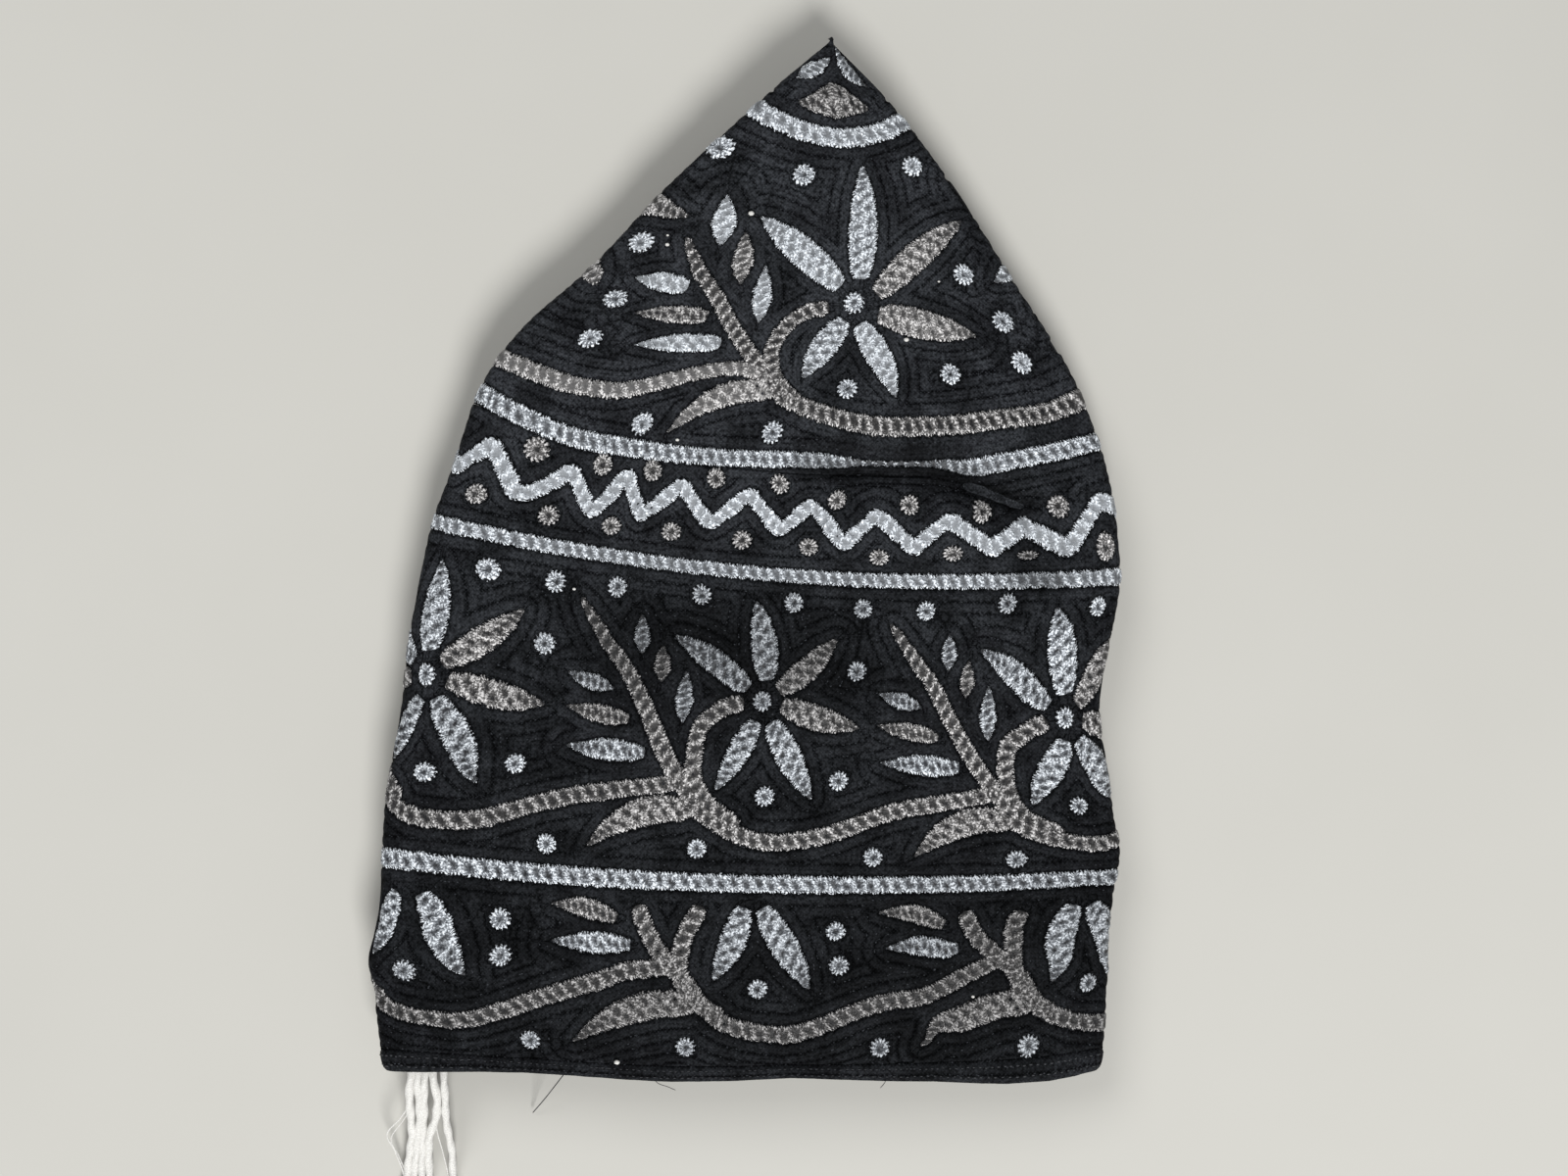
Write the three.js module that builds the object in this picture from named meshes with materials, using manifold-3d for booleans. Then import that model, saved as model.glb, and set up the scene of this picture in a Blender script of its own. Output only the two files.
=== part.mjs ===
// A kuma cap, folded flat in four and lying on its back, in millimetres.
// The cap is a round flat crown on a tall side band with a rolled hem. Pinched together at both sides,
// it lies as four layers: the front panel, a gusset tucked in from each side, and the back panel.
// The crown's centre becomes the point at +Y, the head opening faces -Y and the cap rests on z = 0.
import * as THREE from "three";
import Module from "manifold-3d";

const wasm = await Module();
wasm.setup();

// The quilted cloth and the hem rolled round its lower edge.
const WALL = 1.8;
const HEM_HEIGHT = 3.6;
const HEM_THICK = 2.6;
const PIECE_GAP = 0.3;

// Cloth is measured up from the rim: the crown seam is at BAND_HEIGHT, the crown's centre a radius above it.
const BAND_HEIGHT = 116;
const CROWN_RADIUS = 90.8;
const CLOTH_LENGTH = BAND_HEIGHT + CROWN_RADIUS;

// Where the origin lies, from the rim's middle: the middle of the box that the cap and its threads fill.
const ORIGIN_X = 0.46;
const ORIGIN_Y = 82.88;

// One row for each section across the folded cap, from the rim up to the point.
// cloth: distance up the cloth. left, middle, right: where the front layer's line lies in plan, x and y.
// rise: how far the front layer's middle stands above its side folds. fold: the radius of the turned edges.
// lift: how far the section is off the ground.
const SECTIONS = [
  { name: "rim", cloth: 0, left: [-68.1, 2.6], middle: [-0.6, 0], right: [66.8, 2.2], rise: 5.0, fold: 1.9, lift: 0 },
  { name: "hem top", cloth: 3.9, left: [-69.2, 7.0], middle: [-0.6, 3.9], right: [67.9, 7.0], rise: 5.2, fold: 1.9, lift: 0 },
  { name: "lower border", cloth: 19.2, left: [-70.3, 21.1], middle: [-0.4, 19.2], right: [68.8, 22.0], rise: 5.8, fold: 1.9, lift: 0 },
  { name: "lower line", cloth: 37.7, left: [-68.8, 41.8], middle: [0, 37.7], right: [70.3, 38.3], rise: 6.2, fold: 1.9, lift: 0 },
  { name: "vine", cloth: 48.8, left: [-68.1, 53.5], middle: [0.6, 48.8], right: [70.1, 47.8], rise: 6.2, fold: 1.9, lift: 0 },
  { name: "waist", cloth: 66.4, left: [-64.4, 71.0], middle: [2.8, 66.4], right: [67.8, 63.2], rise: 5.6, fold: 1.9, lift: 0 },
  { name: "flowers", cloth: 81.2, left: [-62.2, 88.6], middle: [4.6, 81.2], right: [69.1, 80.0], rise: 5.8, fold: 1.9, lift: 0 },
  { name: "upper line", cloth: 95.5, left: [-59.2, 105.6], middle: [5.6, 95.5], right: [70.7, 95.1], rise: 6.4, fold: 1.9, lift: 0 },
  { name: "zigzag", cloth: 107.0, left: [-55.1, 117.3], middle: [6.5, 106.2], right: [69.6, 110.8], rise: 6.4, fold: 1.9, lift: 0 },
  { name: "crown line", cloth: 118.5, left: [-50.5, 130.8], middle: [7.4, 116.9], right: [67.0, 121.2], rise: 7.0, fold: 1.9, lift: 0 },
  { name: "crown vine", cloth: 131.3, left: [-42.6, 142.3], middle: [10.2, 129.3], right: [61.1, 135.4], rise: 6.6, fold: 1.85, lift: 0 },
  { name: "crown flower", cloth: 148.0, left: [-29.6, 153.9], middle: [12.6, 143.2], right: [51.1, 151.1], rise: 5.4, fold: 1.7, lift: 0.5 },
  { name: "upper crown", cloth: 168.4, left: [-14.1, 170.2], middle: [15.2, 161.7], right: [40.3, 168.2], rise: 3.6, fold: 1.5, lift: 2.0 },
  { name: "apex ring", cloth: 186.3, left: [1.5, 184.4], middle: [16.8, 178.0], right: [30.5, 181.7], rise: 2.2, fold: 1.3, lift: 4.2 },
  { name: "point", cloth: 206.8, left: [16.7, 197.8], middle: [16.7, 197.8], right: [16.7, 197.8], rise: 1.0, fold: 1.2, lift: 6.6 },
];

// The folds that show on the front: a dent or a swelling along a line in plan, x and y from the rim's middle.
const FOLDS = [
  { name: "dent under the crown line", from: [17.9, 115.2], to: [41.6, 112.8], height: -2.2, spread: 2.4 },
  { name: "dent running down", from: [41.6, 112.8], to: [51.8, 108.6], height: -2.4, spread: 2.4 },
  { name: "dent running up", from: [51.8, 108.6], to: [62.9, 113.6], height: -1.4, spread: 2.2 },
  { name: "swelling above the dent", from: [14.8, 123.5], to: [46.2, 121.0], height: 1.6, spread: 4.6 },
];

// The silver lines stand up from the cloth as ribs.
const RIBS = [
  { name: "lower line", cloth: 37.7, width: 3.0 },
  { name: "upper line", cloth: 95.5, width: 2.8 },
  { name: "crown line", cloth: 118.5, width: 2.8 },
  { name: "apex ring", cloth: 186.3, width: 4.2 },
];
const RIB_HEIGHT = 0.5;
// Rows that a wall has besides its sections, where a fold crosses it or the crown narrows.
const ROW_HEIGHTS = [112.5, 124.5, 139.5, 158, 177, 196, 201];

// Folding across the cap: how far the gussets stop short of its middle line, and the back of the front folds.
const GUSSET_CENTRE = 8;
const GUSSET_SAG = 0.9;
const BACK_INSET = 1.4;
const FRONT_SQUARENESS = 2.4;
// Nearer to the point than this the whole section shrinks with the cloth, and the cloth is solid.
const SOLID_POINT = 14;
// The height above the surface that the shrinking sections close on.
const POINT_HEIGHT = 4.6;

// How finely each stretch of a section is divided.
const FRONT_STEPS = 14;
const BACK_STEPS = 8;
const GUSSET_STEPS = 5;
const FOLD_STEPS = 4;

// The cut ends of the white yarns that hang out of the rim at the left.
const THREADS = {
  root: [-59.3, 12.5],
  rootSize: [8.0, 4.0, 1.0],
  rootHeight: 10.85,
  radius: 0.75,
  tipRadius: 0.35,
  steps: 12,
  sides: 6,
};
// One row for each yarn: where it leaves the rim, where it ends, and how far it bows sideways on its way.
const YARNS = [
  { start: -61.8, end: [-68.2, -29.0], bow: -0.8 },
  { start: -60.3, end: [-61.8, -31.5], bow: 0.7 },
  { start: -58.7, end: [-59.8, -30.0], bow: -0.5 },
  { start: -57.1, end: [-55.2, -32.0], bow: -0.9 },
  { start: -55.6, end: [-53.4, -28.5], bow: 0.6 },
];

const NUMBERS = ["rise", "fold", "lift"];
const POINTS = ["left", "middle", "right"];

/** A value that runs smoothly through the section table, by the cloth's height. */
function alongCloth(cloth, read) {
  const last = SECTIONS.length - 1;
  let i = 0;
  while (i < last - 1 && cloth > SECTIONS[i + 1].cloth) i++;
  const at = (k) => SECTIONS[Math.min(last, Math.max(0, k))];
  const slope = (k) => {
    const a = at(k - 1);
    const b = at(k + 1);
    return (read(b) - read(a)) / (b.cloth - a.cloth);
  };
  const [a, b] = [at(i), at(i + 1)];
  const span = b.cloth - a.cloth;
  const t = (cloth - a.cloth) / span;
  const [t2, t3] = [t * t, t * t * t];
  return (
    (2 * t3 - 3 * t2 + 1) * read(a) +
    (t3 - 2 * t2 + t) * span * slope(i) +
    (3 * t2 - 2 * t3) * read(b) +
    (t3 - t2) * span * slope(i + 1)
  );
}

/** The section at a height of cloth: its line in plan, half its width, its rise, its folds and its lift. */
function sectionAt(cloth) {
  const row = { cloth };
  for (const key of NUMBERS) row[key] = alongCloth(cloth, (s) => s[key]);
  for (const key of POINTS) row[key] = [0, 1].map((axis) => alongCloth(cloth, (s) => s[key][axis]));
  const { left, middle, right } = row;
  row.bend = [0, 1].map((axis) => 2 * middle[axis] - (left[axis] + right[axis]) / 2);
  let length = 0;
  let before = planPoint(row, 0);
  const pieces = 16;
  for (let i = 1; i <= pieces; i++) {
    const here = planPoint(row, i / pieces);
    length += Math.hypot(here[0] - before[0], here[1] - before[1]);
    before = here;
  }
  row.half = length / 2;
  row.shrink = Math.min(1, (CLOTH_LENGTH - cloth) / SOLID_POINT);
  row.ground = Math.max(0, row.lift) + POINT_HEIGHT * (1 - row.shrink);
  return row;
}

/** A point of a section's line in plan: 0 is its left end, 1 its right end. */
function planPoint(row, t) {
  return [0, 1].map(
    (axis) => (1 - t) ** 2 * row.left[axis] + 2 * t * (1 - t) * row.bend[axis] + t * t * row.right[axis],
  );
}

/** The distance in plan from a point to the line between two others. */
function distanceToLine(point, from, to) {
  const along = [to[0] - from[0], to[1] - from[1]];
  const offset = [point[0] - from[0], point[1] - from[1]];
  const share = (offset[0] * along[0] + offset[1] * along[1]) / (along[0] ** 2 + along[1] ** 2);
  const t = Math.min(1, Math.max(0, share));
  return Math.hypot(offset[0] - t * along[0], offset[1] - t * along[1]);
}

/** How much the folds raise or lower the front at a point in plan. */
function foldHeight(point) {
  return FOLDS.reduce((sum, fold) => {
    const d = distanceToLine(point, fold.from, fold.to) / fold.spread;
    return sum + fold.height * Math.exp(-0.5 * d * d);
  }, 0);
}

/** The middle of the cloth round one section, as x across the section and z, from the left front fold. */
function sectionLoop(row) {
  const s = row.shrink;
  const r = row.fold * s;
  const back = (WALL / 2) * s + row.ground;
  const gussetLow = back + 2 * r;
  const gussetHigh = gussetLow + 2 * r;
  const front = gussetHigh + 2 * r;
  const wide = row.half - r - (WALL / 2) * s;
  const wideBack = wide - BACK_INSET * s;
  const inner = Math.min(GUSSET_CENTRE * s, wideBack * 0.45);
  const loop = [];
  const arc = (x, z, from, to, steps) => {
    for (let i = 0; i < steps; i++) {
      const a = THREE.MathUtils.degToRad(from + ((to - from) * i) / steps);
      loop.push([x + r * Math.cos(a), z + r * Math.sin(a)]);
    }
  };
  const run = (x0, x1, steps, height) => {
    for (let i = 0; i < steps; i++) {
      const x = x0 + ((x1 - x0) * i) / steps;
      loop.push([x, height(x)]);
    }
  };
  const frontHeight = (x) => {
    const t = Math.min(1, Math.abs(x) / wide);
    const fade = 1 - t ** FRONT_SQUARENESS;
    const plan = planPoint(row, (x + row.half) / (2 * row.half));
    return front + fade * (row.rise * s + foldHeight(plan) * s);
  };
  const gusset = (level) => (x) => level + GUSSET_SAG * s * (1 - Math.abs(x) / wide);
  const sagHigh = gusset(gussetHigh);
  const sagLow = gusset(gussetLow);
  arc(-wide, gussetHigh + r, 180, 90, FOLD_STEPS / 2);
  run(-wide, wide, FRONT_STEPS, frontHeight);
  arc(wide, gussetHigh + r, 90, -90, FOLD_STEPS);
  run(wide, inner, GUSSET_STEPS, sagHigh);
  arc(inner, (sagHigh(inner) + sagLow(inner)) / 2, 90, 270, FOLD_STEPS);
  run(inner, wideBack, GUSSET_STEPS, sagLow);
  arc(wideBack, back + r, 90, -90, FOLD_STEPS);
  run(wideBack, -wideBack, BACK_STEPS, () => back);
  arc(-wideBack, back + r, 270, 90, FOLD_STEPS);
  run(-wideBack, -inner, GUSSET_STEPS, sagLow);
  arc(-inner, (sagHigh(inner) + sagLow(inner)) / 2, -90, 90, FOLD_STEPS);
  run(-inner, -wide, GUSSET_STEPS, sagHigh);
  arc(-wide, gussetHigh + r, 270, 180, FOLD_STEPS / 2);
  return loop;
}

/** The points round one section, a distance out from the middle of the cloth. */
function sectionRing(cloth, out) {
  const row = sectionAt(cloth);
  const loop = sectionLoop(row);
  return loop.map(([x, z], i) => {
    const [x0, z0] = loop[(i + loop.length - 1) % loop.length];
    const [x1, z1] = loop[(i + 1) % loop.length];
    const size = Math.hypot(x1 - x0, z1 - z0);
    const px = x - (out * row.shrink * (z1 - z0)) / size;
    const pz = z + (out * row.shrink * (x1 - x0)) / size;
    const [planX, planY] = planPoint(row, (px + row.half) / (2 * row.half));
    return new THREE.Vector3(planX - ORIGIN_X, planY - ORIGIN_Y, Math.max(row.ground, pz));
  });
}

/** How far a rib stands out at a height of cloth. */
function ribHeight(cloth) {
  const on = RIBS.some((rib) => Math.abs(cloth - rib.cloth) < rib.width / 2 - 0.01);
  return on ? RIB_HEIGHT : 0;
}

/** The heights of cloth at which a wall has a row, between two ends: its sections, and the edges of the ribs. */
function wallRows(low, high, ribs) {
  const onRib = (cloth) => ribs.some((rib) => Math.abs(cloth - rib.cloth) < rib.width);
  const inside = [...ROW_HEIGHTS, ...SECTIONS.map((s) => s.cloth)].filter((cloth) => !onRib(cloth));
  for (const rib of ribs) {
    for (const step of [rib.width / 2, rib.width / 2 - RIB_HEIGHT]) {
      inside.push(rib.cloth - step, rib.cloth + step);
    }
  }
  const apart = (cloth) => cloth > low + PIECE_GAP && cloth < high - PIECE_GAP;
  return [low, ...inside.filter(apart).sort((a, b) => a - b), high];
}

/** A closed body from rings of equal length, each joined to the next. */
class RingBody {
  constructor() {
    this.points = [];
    this.faces = [];
  }

  addRing(ring) {
    const first = this.points.length;
    this.points.push(...ring);
    return { first, count: ring.length };
  }

  join(a, b) {
    for (let i = 0; i < a.count; i++) {
      const j = (i + 1) % a.count;
      this.faces.push([a.first + i, b.first + j, b.first + i]);
      this.faces.push([a.first + i, a.first + j, b.first + j]);
    }
  }

  closeToPoint(ring, point) {
    const tip = this.points.push(point) - 1;
    for (let i = 0; i < ring.count; i++) {
      this.faces.push([ring.first + i, ring.first + ((i + 1) % ring.count), tip]);
    }
  }

  closeFlat(ring, outline, turned) {
    const flat = outline.map(([x, z]) => new THREE.Vector2(x, z));
    for (const [a, b, c] of THREE.ShapeUtils.triangulateShape(flat, [])) {
      const face = [ring.first + a, ring.first + b, ring.first + c];
      this.faces.push(turned ? face.reverse() : face);
    }
  }

  geometry() {
    const geometry = new THREE.BufferGeometry().setFromPoints(this.points);
    geometry.setIndex(this.faces.flat());
    geometry.computeVertexNormals();
    return geometry;
  }
}

/** The round crown, folded in four: a wall from the seam up to the solid point. */
function crownGeometry() {
  const body = new RingBody();
  const hollowTop = CLOTH_LENGTH - SOLID_POINT;
  const low = BAND_HEIGHT + PIECE_GAP;
  const rows = wallRows(low, CLOTH_LENGTH - 3, RIBS);
  const outer = rows.map((cloth) => body.addRing(sectionRing(cloth, WALL / 2 + ribHeight(cloth))));
  const innerRows = wallRows(low, hollowTop, []);
  const inner = innerRows.map((cloth) => body.addRing(sectionRing(cloth, -WALL / 2)));
  for (let i = 1; i < outer.length; i++) body.join(outer[i - 1], outer[i]);
  for (let i = 1; i < inner.length; i++) body.join(inner[i], inner[i - 1]);
  body.join(inner[0], outer[0]);
  const point = sectionAt(CLOTH_LENGTH);
  const [x, y] = planPoint(point, 0.5);
  body.closeToPoint(outer[outer.length - 1], new THREE.Vector3(x - ORIGIN_X, y - ORIGIN_Y, point.ground));
  const top = innerRows[innerRows.length - 1];
  const outline = sectionRing(top, -WALL / 2).map((p) => [p.x, p.z]);
  body.closeFlat(inner[inner.length - 1], outline, false);
  return body.geometry();
}

/** The side band: a wall from the hem up to the crown seam. */
function bandGeometry() {
  const body = new RingBody();
  const ends = [HEM_HEIGHT + PIECE_GAP, BAND_HEIGHT];
  const outer = wallRows(...ends, RIBS).map((cloth) =>
    body.addRing(sectionRing(cloth, WALL / 2 + ribHeight(cloth))),
  );
  const inner = wallRows(...ends, []).map((cloth) => body.addRing(sectionRing(cloth, -WALL / 2)));
  for (let i = 1; i < outer.length; i++) body.join(outer[i - 1], outer[i]);
  for (let i = 1; i < inner.length; i++) body.join(inner[i], inner[i - 1]);
  body.join(inner[0], outer[0]);
  body.join(outer[outer.length - 1], inner[inner.length - 1]);
  return body.geometry();
}

/** The hem: the cloth's edge rolled over, a little thicker than the wall, all round the opening. */
function hemGeometry() {
  const body = new RingBody();
  const half = HEM_THICK / 2;
  const corner = 0.8;
  const profile = [
    [0, half - corner],
    [corner, half],
    [HEM_HEIGHT - corner, half],
    [HEM_HEIGHT, half - corner],
    [HEM_HEIGHT, corner - half],
    [HEM_HEIGHT - corner, -half],
    [corner, -half],
    [0, corner - half],
  ];
  const rings = profile.map(([cloth, out]) => body.addRing(sectionRing(cloth, out)));
  rings.forEach((ring, i) => body.join(ring, rings[(i + 1) % rings.length]));
  return body.geometry();
}

/** A manifold solid from a closed geometry. */
function solidOf(geometry) {
  const index = geometry.index.array;
  return new wasm.Manifold(
    new wasm.Mesh({
      numProp: 3,
      vertProperties: new Float32Array(geometry.getAttribute("position").array),
      triVerts: new Uint32Array(index),
    }),
  );
}

/** One yarn: from the root inside the rim, out of the opening and down onto the surface. */
function yarnGeometry(yarn) {
  const [rootX, rootY] = THREADS.root;
  const startX = rootX + (yarn.start - rootX) * 0.8;
  const route = [
    [startX, rootY, THREADS.rootHeight],
    [startX + (yarn.start - startX) / 2, rootY / 2, THREADS.rootHeight],
    [yarn.start, -0.6, THREADS.rootHeight - 0.3],
    [yarn.start + yarn.bow, -7.5, 5.2],
    [yarn.start * 0.55 + yarn.end[0] * 0.45 + yarn.bow, -14.5, 1.4],
    [yarn.start * 0.3 + yarn.end[0] * 0.7 + yarn.bow / 2, -20.5, THREADS.radius + 0.05],
    [yarn.end[0], yarn.end[1], THREADS.tipRadius + 0.05],
  ];
  const curve = new THREE.CatmullRomCurve3(
    route.map(([x, y, z]) => new THREE.Vector3(x - ORIGIN_X, y - ORIGIN_Y, z)),
  );
  const body = new RingBody();
  const rings = [];
  for (let i = 0; i <= THREADS.steps; i++) {
    const t = i / THREADS.steps;
    const centre = curve.getPoint(t);
    const ahead = curve.getTangent(t);
    const side = new THREE.Vector3(0, 0, 1).cross(ahead).normalize();
    const up = ahead.clone().cross(side);
    const radius = THREADS.radius + (THREADS.tipRadius - THREADS.radius) * t * t;
    const ring = [];
    for (let k = 0; k < THREADS.sides; k++) {
      const a = (2 * Math.PI * k) / THREADS.sides;
      const point = centre.clone();
      point.addScaledVector(side, radius * Math.cos(a)).addScaledVector(up, radius * Math.sin(a));
      point.z = Math.max(0, point.z);
      ring.push(point);
    }
    rings.push(body.addRing(ring));
  }
  for (let i = 1; i < rings.length; i++) body.join(rings[i - 1], rings[i]);
  const circle = rings[0].count;
  const fan = (ring, turned) => {
    for (let k = 1; k < circle - 1; k++) {
      const face = [ring.first, ring.first + k, ring.first + k + 1];
      body.faces.push(turned ? face : face.reverse());
    }
  };
  fan(rings[0], false);
  fan(rings[rings.length - 1], true);
  return body.geometry();
}

/** The white yarns, fused to the knot that holds them inside the rim. */
function threadsGeometry() {
  const [x, y] = THREADS.root;
  const root = new THREE.BoxGeometry(...THREADS.rootSize);
  root.translate(x - ORIGIN_X, y - ORIGIN_Y, THREADS.rootHeight);
  const bare = new THREE.BufferGeometry();
  const corners = [];
  const index = [];
  const seen = new Map();
  const position = root.getAttribute("position");
  for (const i of root.index.array) {
    const key = [position.getX(i), position.getY(i), position.getZ(i)].map((n) => n.toFixed(4)).join();
    if (!seen.has(key)) seen.set(key, corners.push(new THREE.Vector3().fromBufferAttribute(position, i)) - 1);
    index.push(seen.get(key));
  }
  bare.setFromPoints(corners).setIndex(index);
  const whole = YARNS.reduce((sum, yarn) => sum.add(solidOf(yarnGeometry(yarn))), solidOf(bare));
  const { vertProperties, triVerts, numProp } = whole.getMesh();
  const geometry = new THREE.BufferGeometry();
  geometry.setAttribute("position", new THREE.BufferAttribute(new Float32Array(vertProperties), numProp));
  geometry.setIndex(new THREE.BufferAttribute(new Uint32Array(triVerts), 1));
  return geometry;
}

const blackCloth = new THREE.MeshStandardMaterial({ color: 0x16161a, roughness: 0.85, metalness: 0 });
const blackHem = new THREE.MeshStandardMaterial({ color: 0x101014, roughness: 0.8, metalness: 0 });
const whiteYarn = new THREE.MeshStandardMaterial({ color: 0xdedad2, roughness: 0.9, metalness: 0 });

const PIECES = [
  { name: "crown", make: crownGeometry, material: blackCloth },
  { name: "side_band", make: bandGeometry, material: blackCloth },
  { name: "hem", make: hemGeometry, material: blackHem },
  { name: "loose_threads", make: threadsGeometry, material: whiteYarn },
];

const kumaCap = new THREE.Group();
kumaCap.name = "kuma_cap";
for (const { name, make, material } of PIECES) {
  const mesh = new THREE.Mesh(make(), material);
  mesh.name = name;
  kumaCap.add(mesh);
}

export default kumaCap;
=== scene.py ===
"""A kuma cap folded flat in four: quilted black cloth, embroidered in silver and taupe with rows of eyelets.

The cap lies on its back with its point at +Y and its head opening at -Y. Everything on it is drawn flat
first, in millimetres of cloth, and is then carried to the place where the folded cloth lies.
"""

from __future__ import annotations

import logging
import math
from dataclasses import dataclass, field, replace
from enum import Enum
from typing import Callable, Iterable

import bmesh
import bpy
import numpy as np
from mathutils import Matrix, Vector, kdtree


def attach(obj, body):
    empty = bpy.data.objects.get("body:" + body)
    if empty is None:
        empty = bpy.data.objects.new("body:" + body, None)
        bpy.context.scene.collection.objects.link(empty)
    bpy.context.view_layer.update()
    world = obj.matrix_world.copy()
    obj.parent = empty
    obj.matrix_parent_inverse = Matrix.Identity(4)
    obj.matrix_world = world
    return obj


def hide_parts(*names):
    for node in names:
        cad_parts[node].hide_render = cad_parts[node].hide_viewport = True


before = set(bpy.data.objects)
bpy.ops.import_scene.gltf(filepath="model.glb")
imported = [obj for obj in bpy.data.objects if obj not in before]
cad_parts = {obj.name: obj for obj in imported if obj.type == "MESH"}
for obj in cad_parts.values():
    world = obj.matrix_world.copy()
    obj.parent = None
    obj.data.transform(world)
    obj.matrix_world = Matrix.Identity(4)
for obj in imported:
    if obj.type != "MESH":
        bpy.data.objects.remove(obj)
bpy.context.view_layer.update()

LOG = logging.getLogger("kuma_cap")
BODY = "root"
MM = 0.001

Array = np.ndarray
Point = tuple[float, float]
Socket = bpy.types.NodeSocket
Value = Socket | float | tuple[float, ...]
Notes = dict[str, Array]


class Thread(Enum):
    """The colours of embroidery thread."""

    SILVER = "silver"
    TAUPE = "taupe"


class Shape(Enum):
    """How a motif's width runs from its base to its tip."""

    LINE = "line"
    STEM = "stem"
    PETAL = "petal"
    LEAF = "leaf"
    FROND = "frond"
    BLADE = "blade"
    FAN = "fan"


@dataclass(frozen=True)
class Section:
    """One line across the folded cap, in millimetres.

    cloth is its height up the cloth from the rim. left, middle and right are where the front layer lies in
    plan, from the rim's middle. rise is how far the front stands above its side folds, fold the radius of the
    turned edges and lift the height of the back layer off the ground.
    """

    name: str
    cloth: float
    left: Point
    middle: Point
    right: Point
    rise: float
    fold: float
    lift: float


SECTIONS = (
    Section("rim", 0, (-68.1, 2.6), (-0.6, 0), (66.8, 2.2), 5, 1.9, 0),
    Section("hem top", 3.9, (-69.2, 7), (-0.6, 3.9), (67.9, 7), 5.2, 1.9, 0),
    Section("lower border", 19.2, (-70.3, 21.1), (-0.4, 19.2), (68.8, 22), 5.8, 1.9, 0),
    Section("lower line", 37.7, (-68.8, 41.8), (0, 37.7), (70.3, 38.3), 6.2, 1.9, 0),
    Section("vine", 48.8, (-68.1, 53.5), (0.6, 48.8), (70.1, 47.8), 6.2, 1.9, 0),
    Section("waist", 66.4, (-64.4, 71), (2.8, 66.4), (67.8, 63.2), 5.6, 1.9, 0),
    Section("flowers", 81.2, (-62.2, 88.6), (4.6, 81.2), (69.1, 80), 5.8, 1.9, 0),
    Section("upper line", 95.5, (-59.2, 105.6), (5.6, 95.5), (70.7, 95.1), 6.4, 1.9, 0),
    Section("zigzag", 107, (-55.1, 117.3), (6.5, 106.2), (69.6, 110.8), 6.4, 1.9, 0),
    Section("crown line", 118.5, (-50.5, 130.8), (7.4, 116.9), (67, 121.2), 7, 1.9, 0),
    Section("crown vine", 131.3, (-42.6, 142.3), (10.2, 129.3), (61.1, 135.4), 6.6, 1.85, 0),
    Section("crown flower", 148, (-29.6, 153.9), (12.6, 143.2), (51.1, 151.1), 5.4, 1.7, 0.5),
    Section("upper crown", 168.4, (-14.1, 170.2), (15.2, 161.7), (40.3, 168.2), 3.6, 1.5, 2),
    Section("apex ring", 186.3, (1.5, 184.4), (16.8, 178), (30.5, 181.7), 2.2, 1.3, 4.2),
    Section("point", 206.8, (16.7, 197.8), (16.7, 197.8), (16.7, 197.8), 1, 1.2, 6.6),
)


@dataclass(frozen=True)
class Crease:
    """A line along which the front is dented, swollen or painted with shade, in millimetres.

    height is how far the cloth stands out there, or how much shade is painted there from 0 to 1, and spread
    how wide that reaches.
    """

    start: Point
    end: Point
    height: float
    spread: float

    def near(self, spots: Array) -> Array:
        """What is left of the crease's height at each spot.

        Args:
            spots: Spots in plan, in the frame of the crease.

        Returns:
            A height for each spot.
        """
        start = np.array(self.start)
        along = np.array(self.end) - start
        share = np.clip((spots - start) @ along / (along @ along), 0, 1)
        away = np.linalg.norm(spots - start - share[:, None] * along, axis=1) / self.spread
        return self.height * np.exp(-0.5 * away**2)


# How far the rim is from a smooth curve, by the share of the way across, and how far up that reaches.
RIM_NUDGES = (
    (0, -0.75), (0.035, -0.4), (0.1, 0.5), (0.14, 1), (0.2, 1.45), (0.27, 1.45), (0.33, 1.15), (0.4, 0.9),
    (0.47, 1.15), (0.53, 1.5), (0.57, 1.75), (0.63, 1.35), (0.7, 0.75), (0.77, 0.25), (0.83, -0.6),
    (0.87, -1.1), (0.93, -1.25), (0.965, -0.8), (1, 0),
)
RIM_REACH = 6.5
# Painted shade in the front's folds, in the row frame: a height of 1 is a fold that no light reaches.
PAINTED_SHADE_LINES = (
    Crease((10.6, 36.7), (25.3, 35.9), 0.5, 1.5),
    Crease((25.3, 35.9), (39.1, 35.6), 0.6, 1.4),
    Crease((10.6, 31.9), (34.4, 31.7), 0.75, 1.9),
    Crease((34.4, 31.7), (43.9, 29.5), 0.85, 2.2),
    Crease((43.9, 29.5), (49.8, 25.8), 0.9, 2.3),
    Crease((49.8, 25.8), (53.3, 26), 0.85, 1.6),
    Crease((23.5, 33.9), (36.7, 33.9), 0.6, 1.6),
    Crease((52.6, 12.6), (57.4, 11.8), 0.75, 2.5),
    Crease((47, 8.5), (51, 6.5), 0.5, 2.2),
    Crease((52.2, 16.6), (64, 15.1), 0.45, 1.6),
    # The last two are painted shade over broad patches that slope away from the light.
    Crease((-22.5, 0.2), (16.1, -2.9), 0.66, 8.5),
    Crease((36.4, -56), (65.8, -52), 0.34, 13),
)
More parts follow.
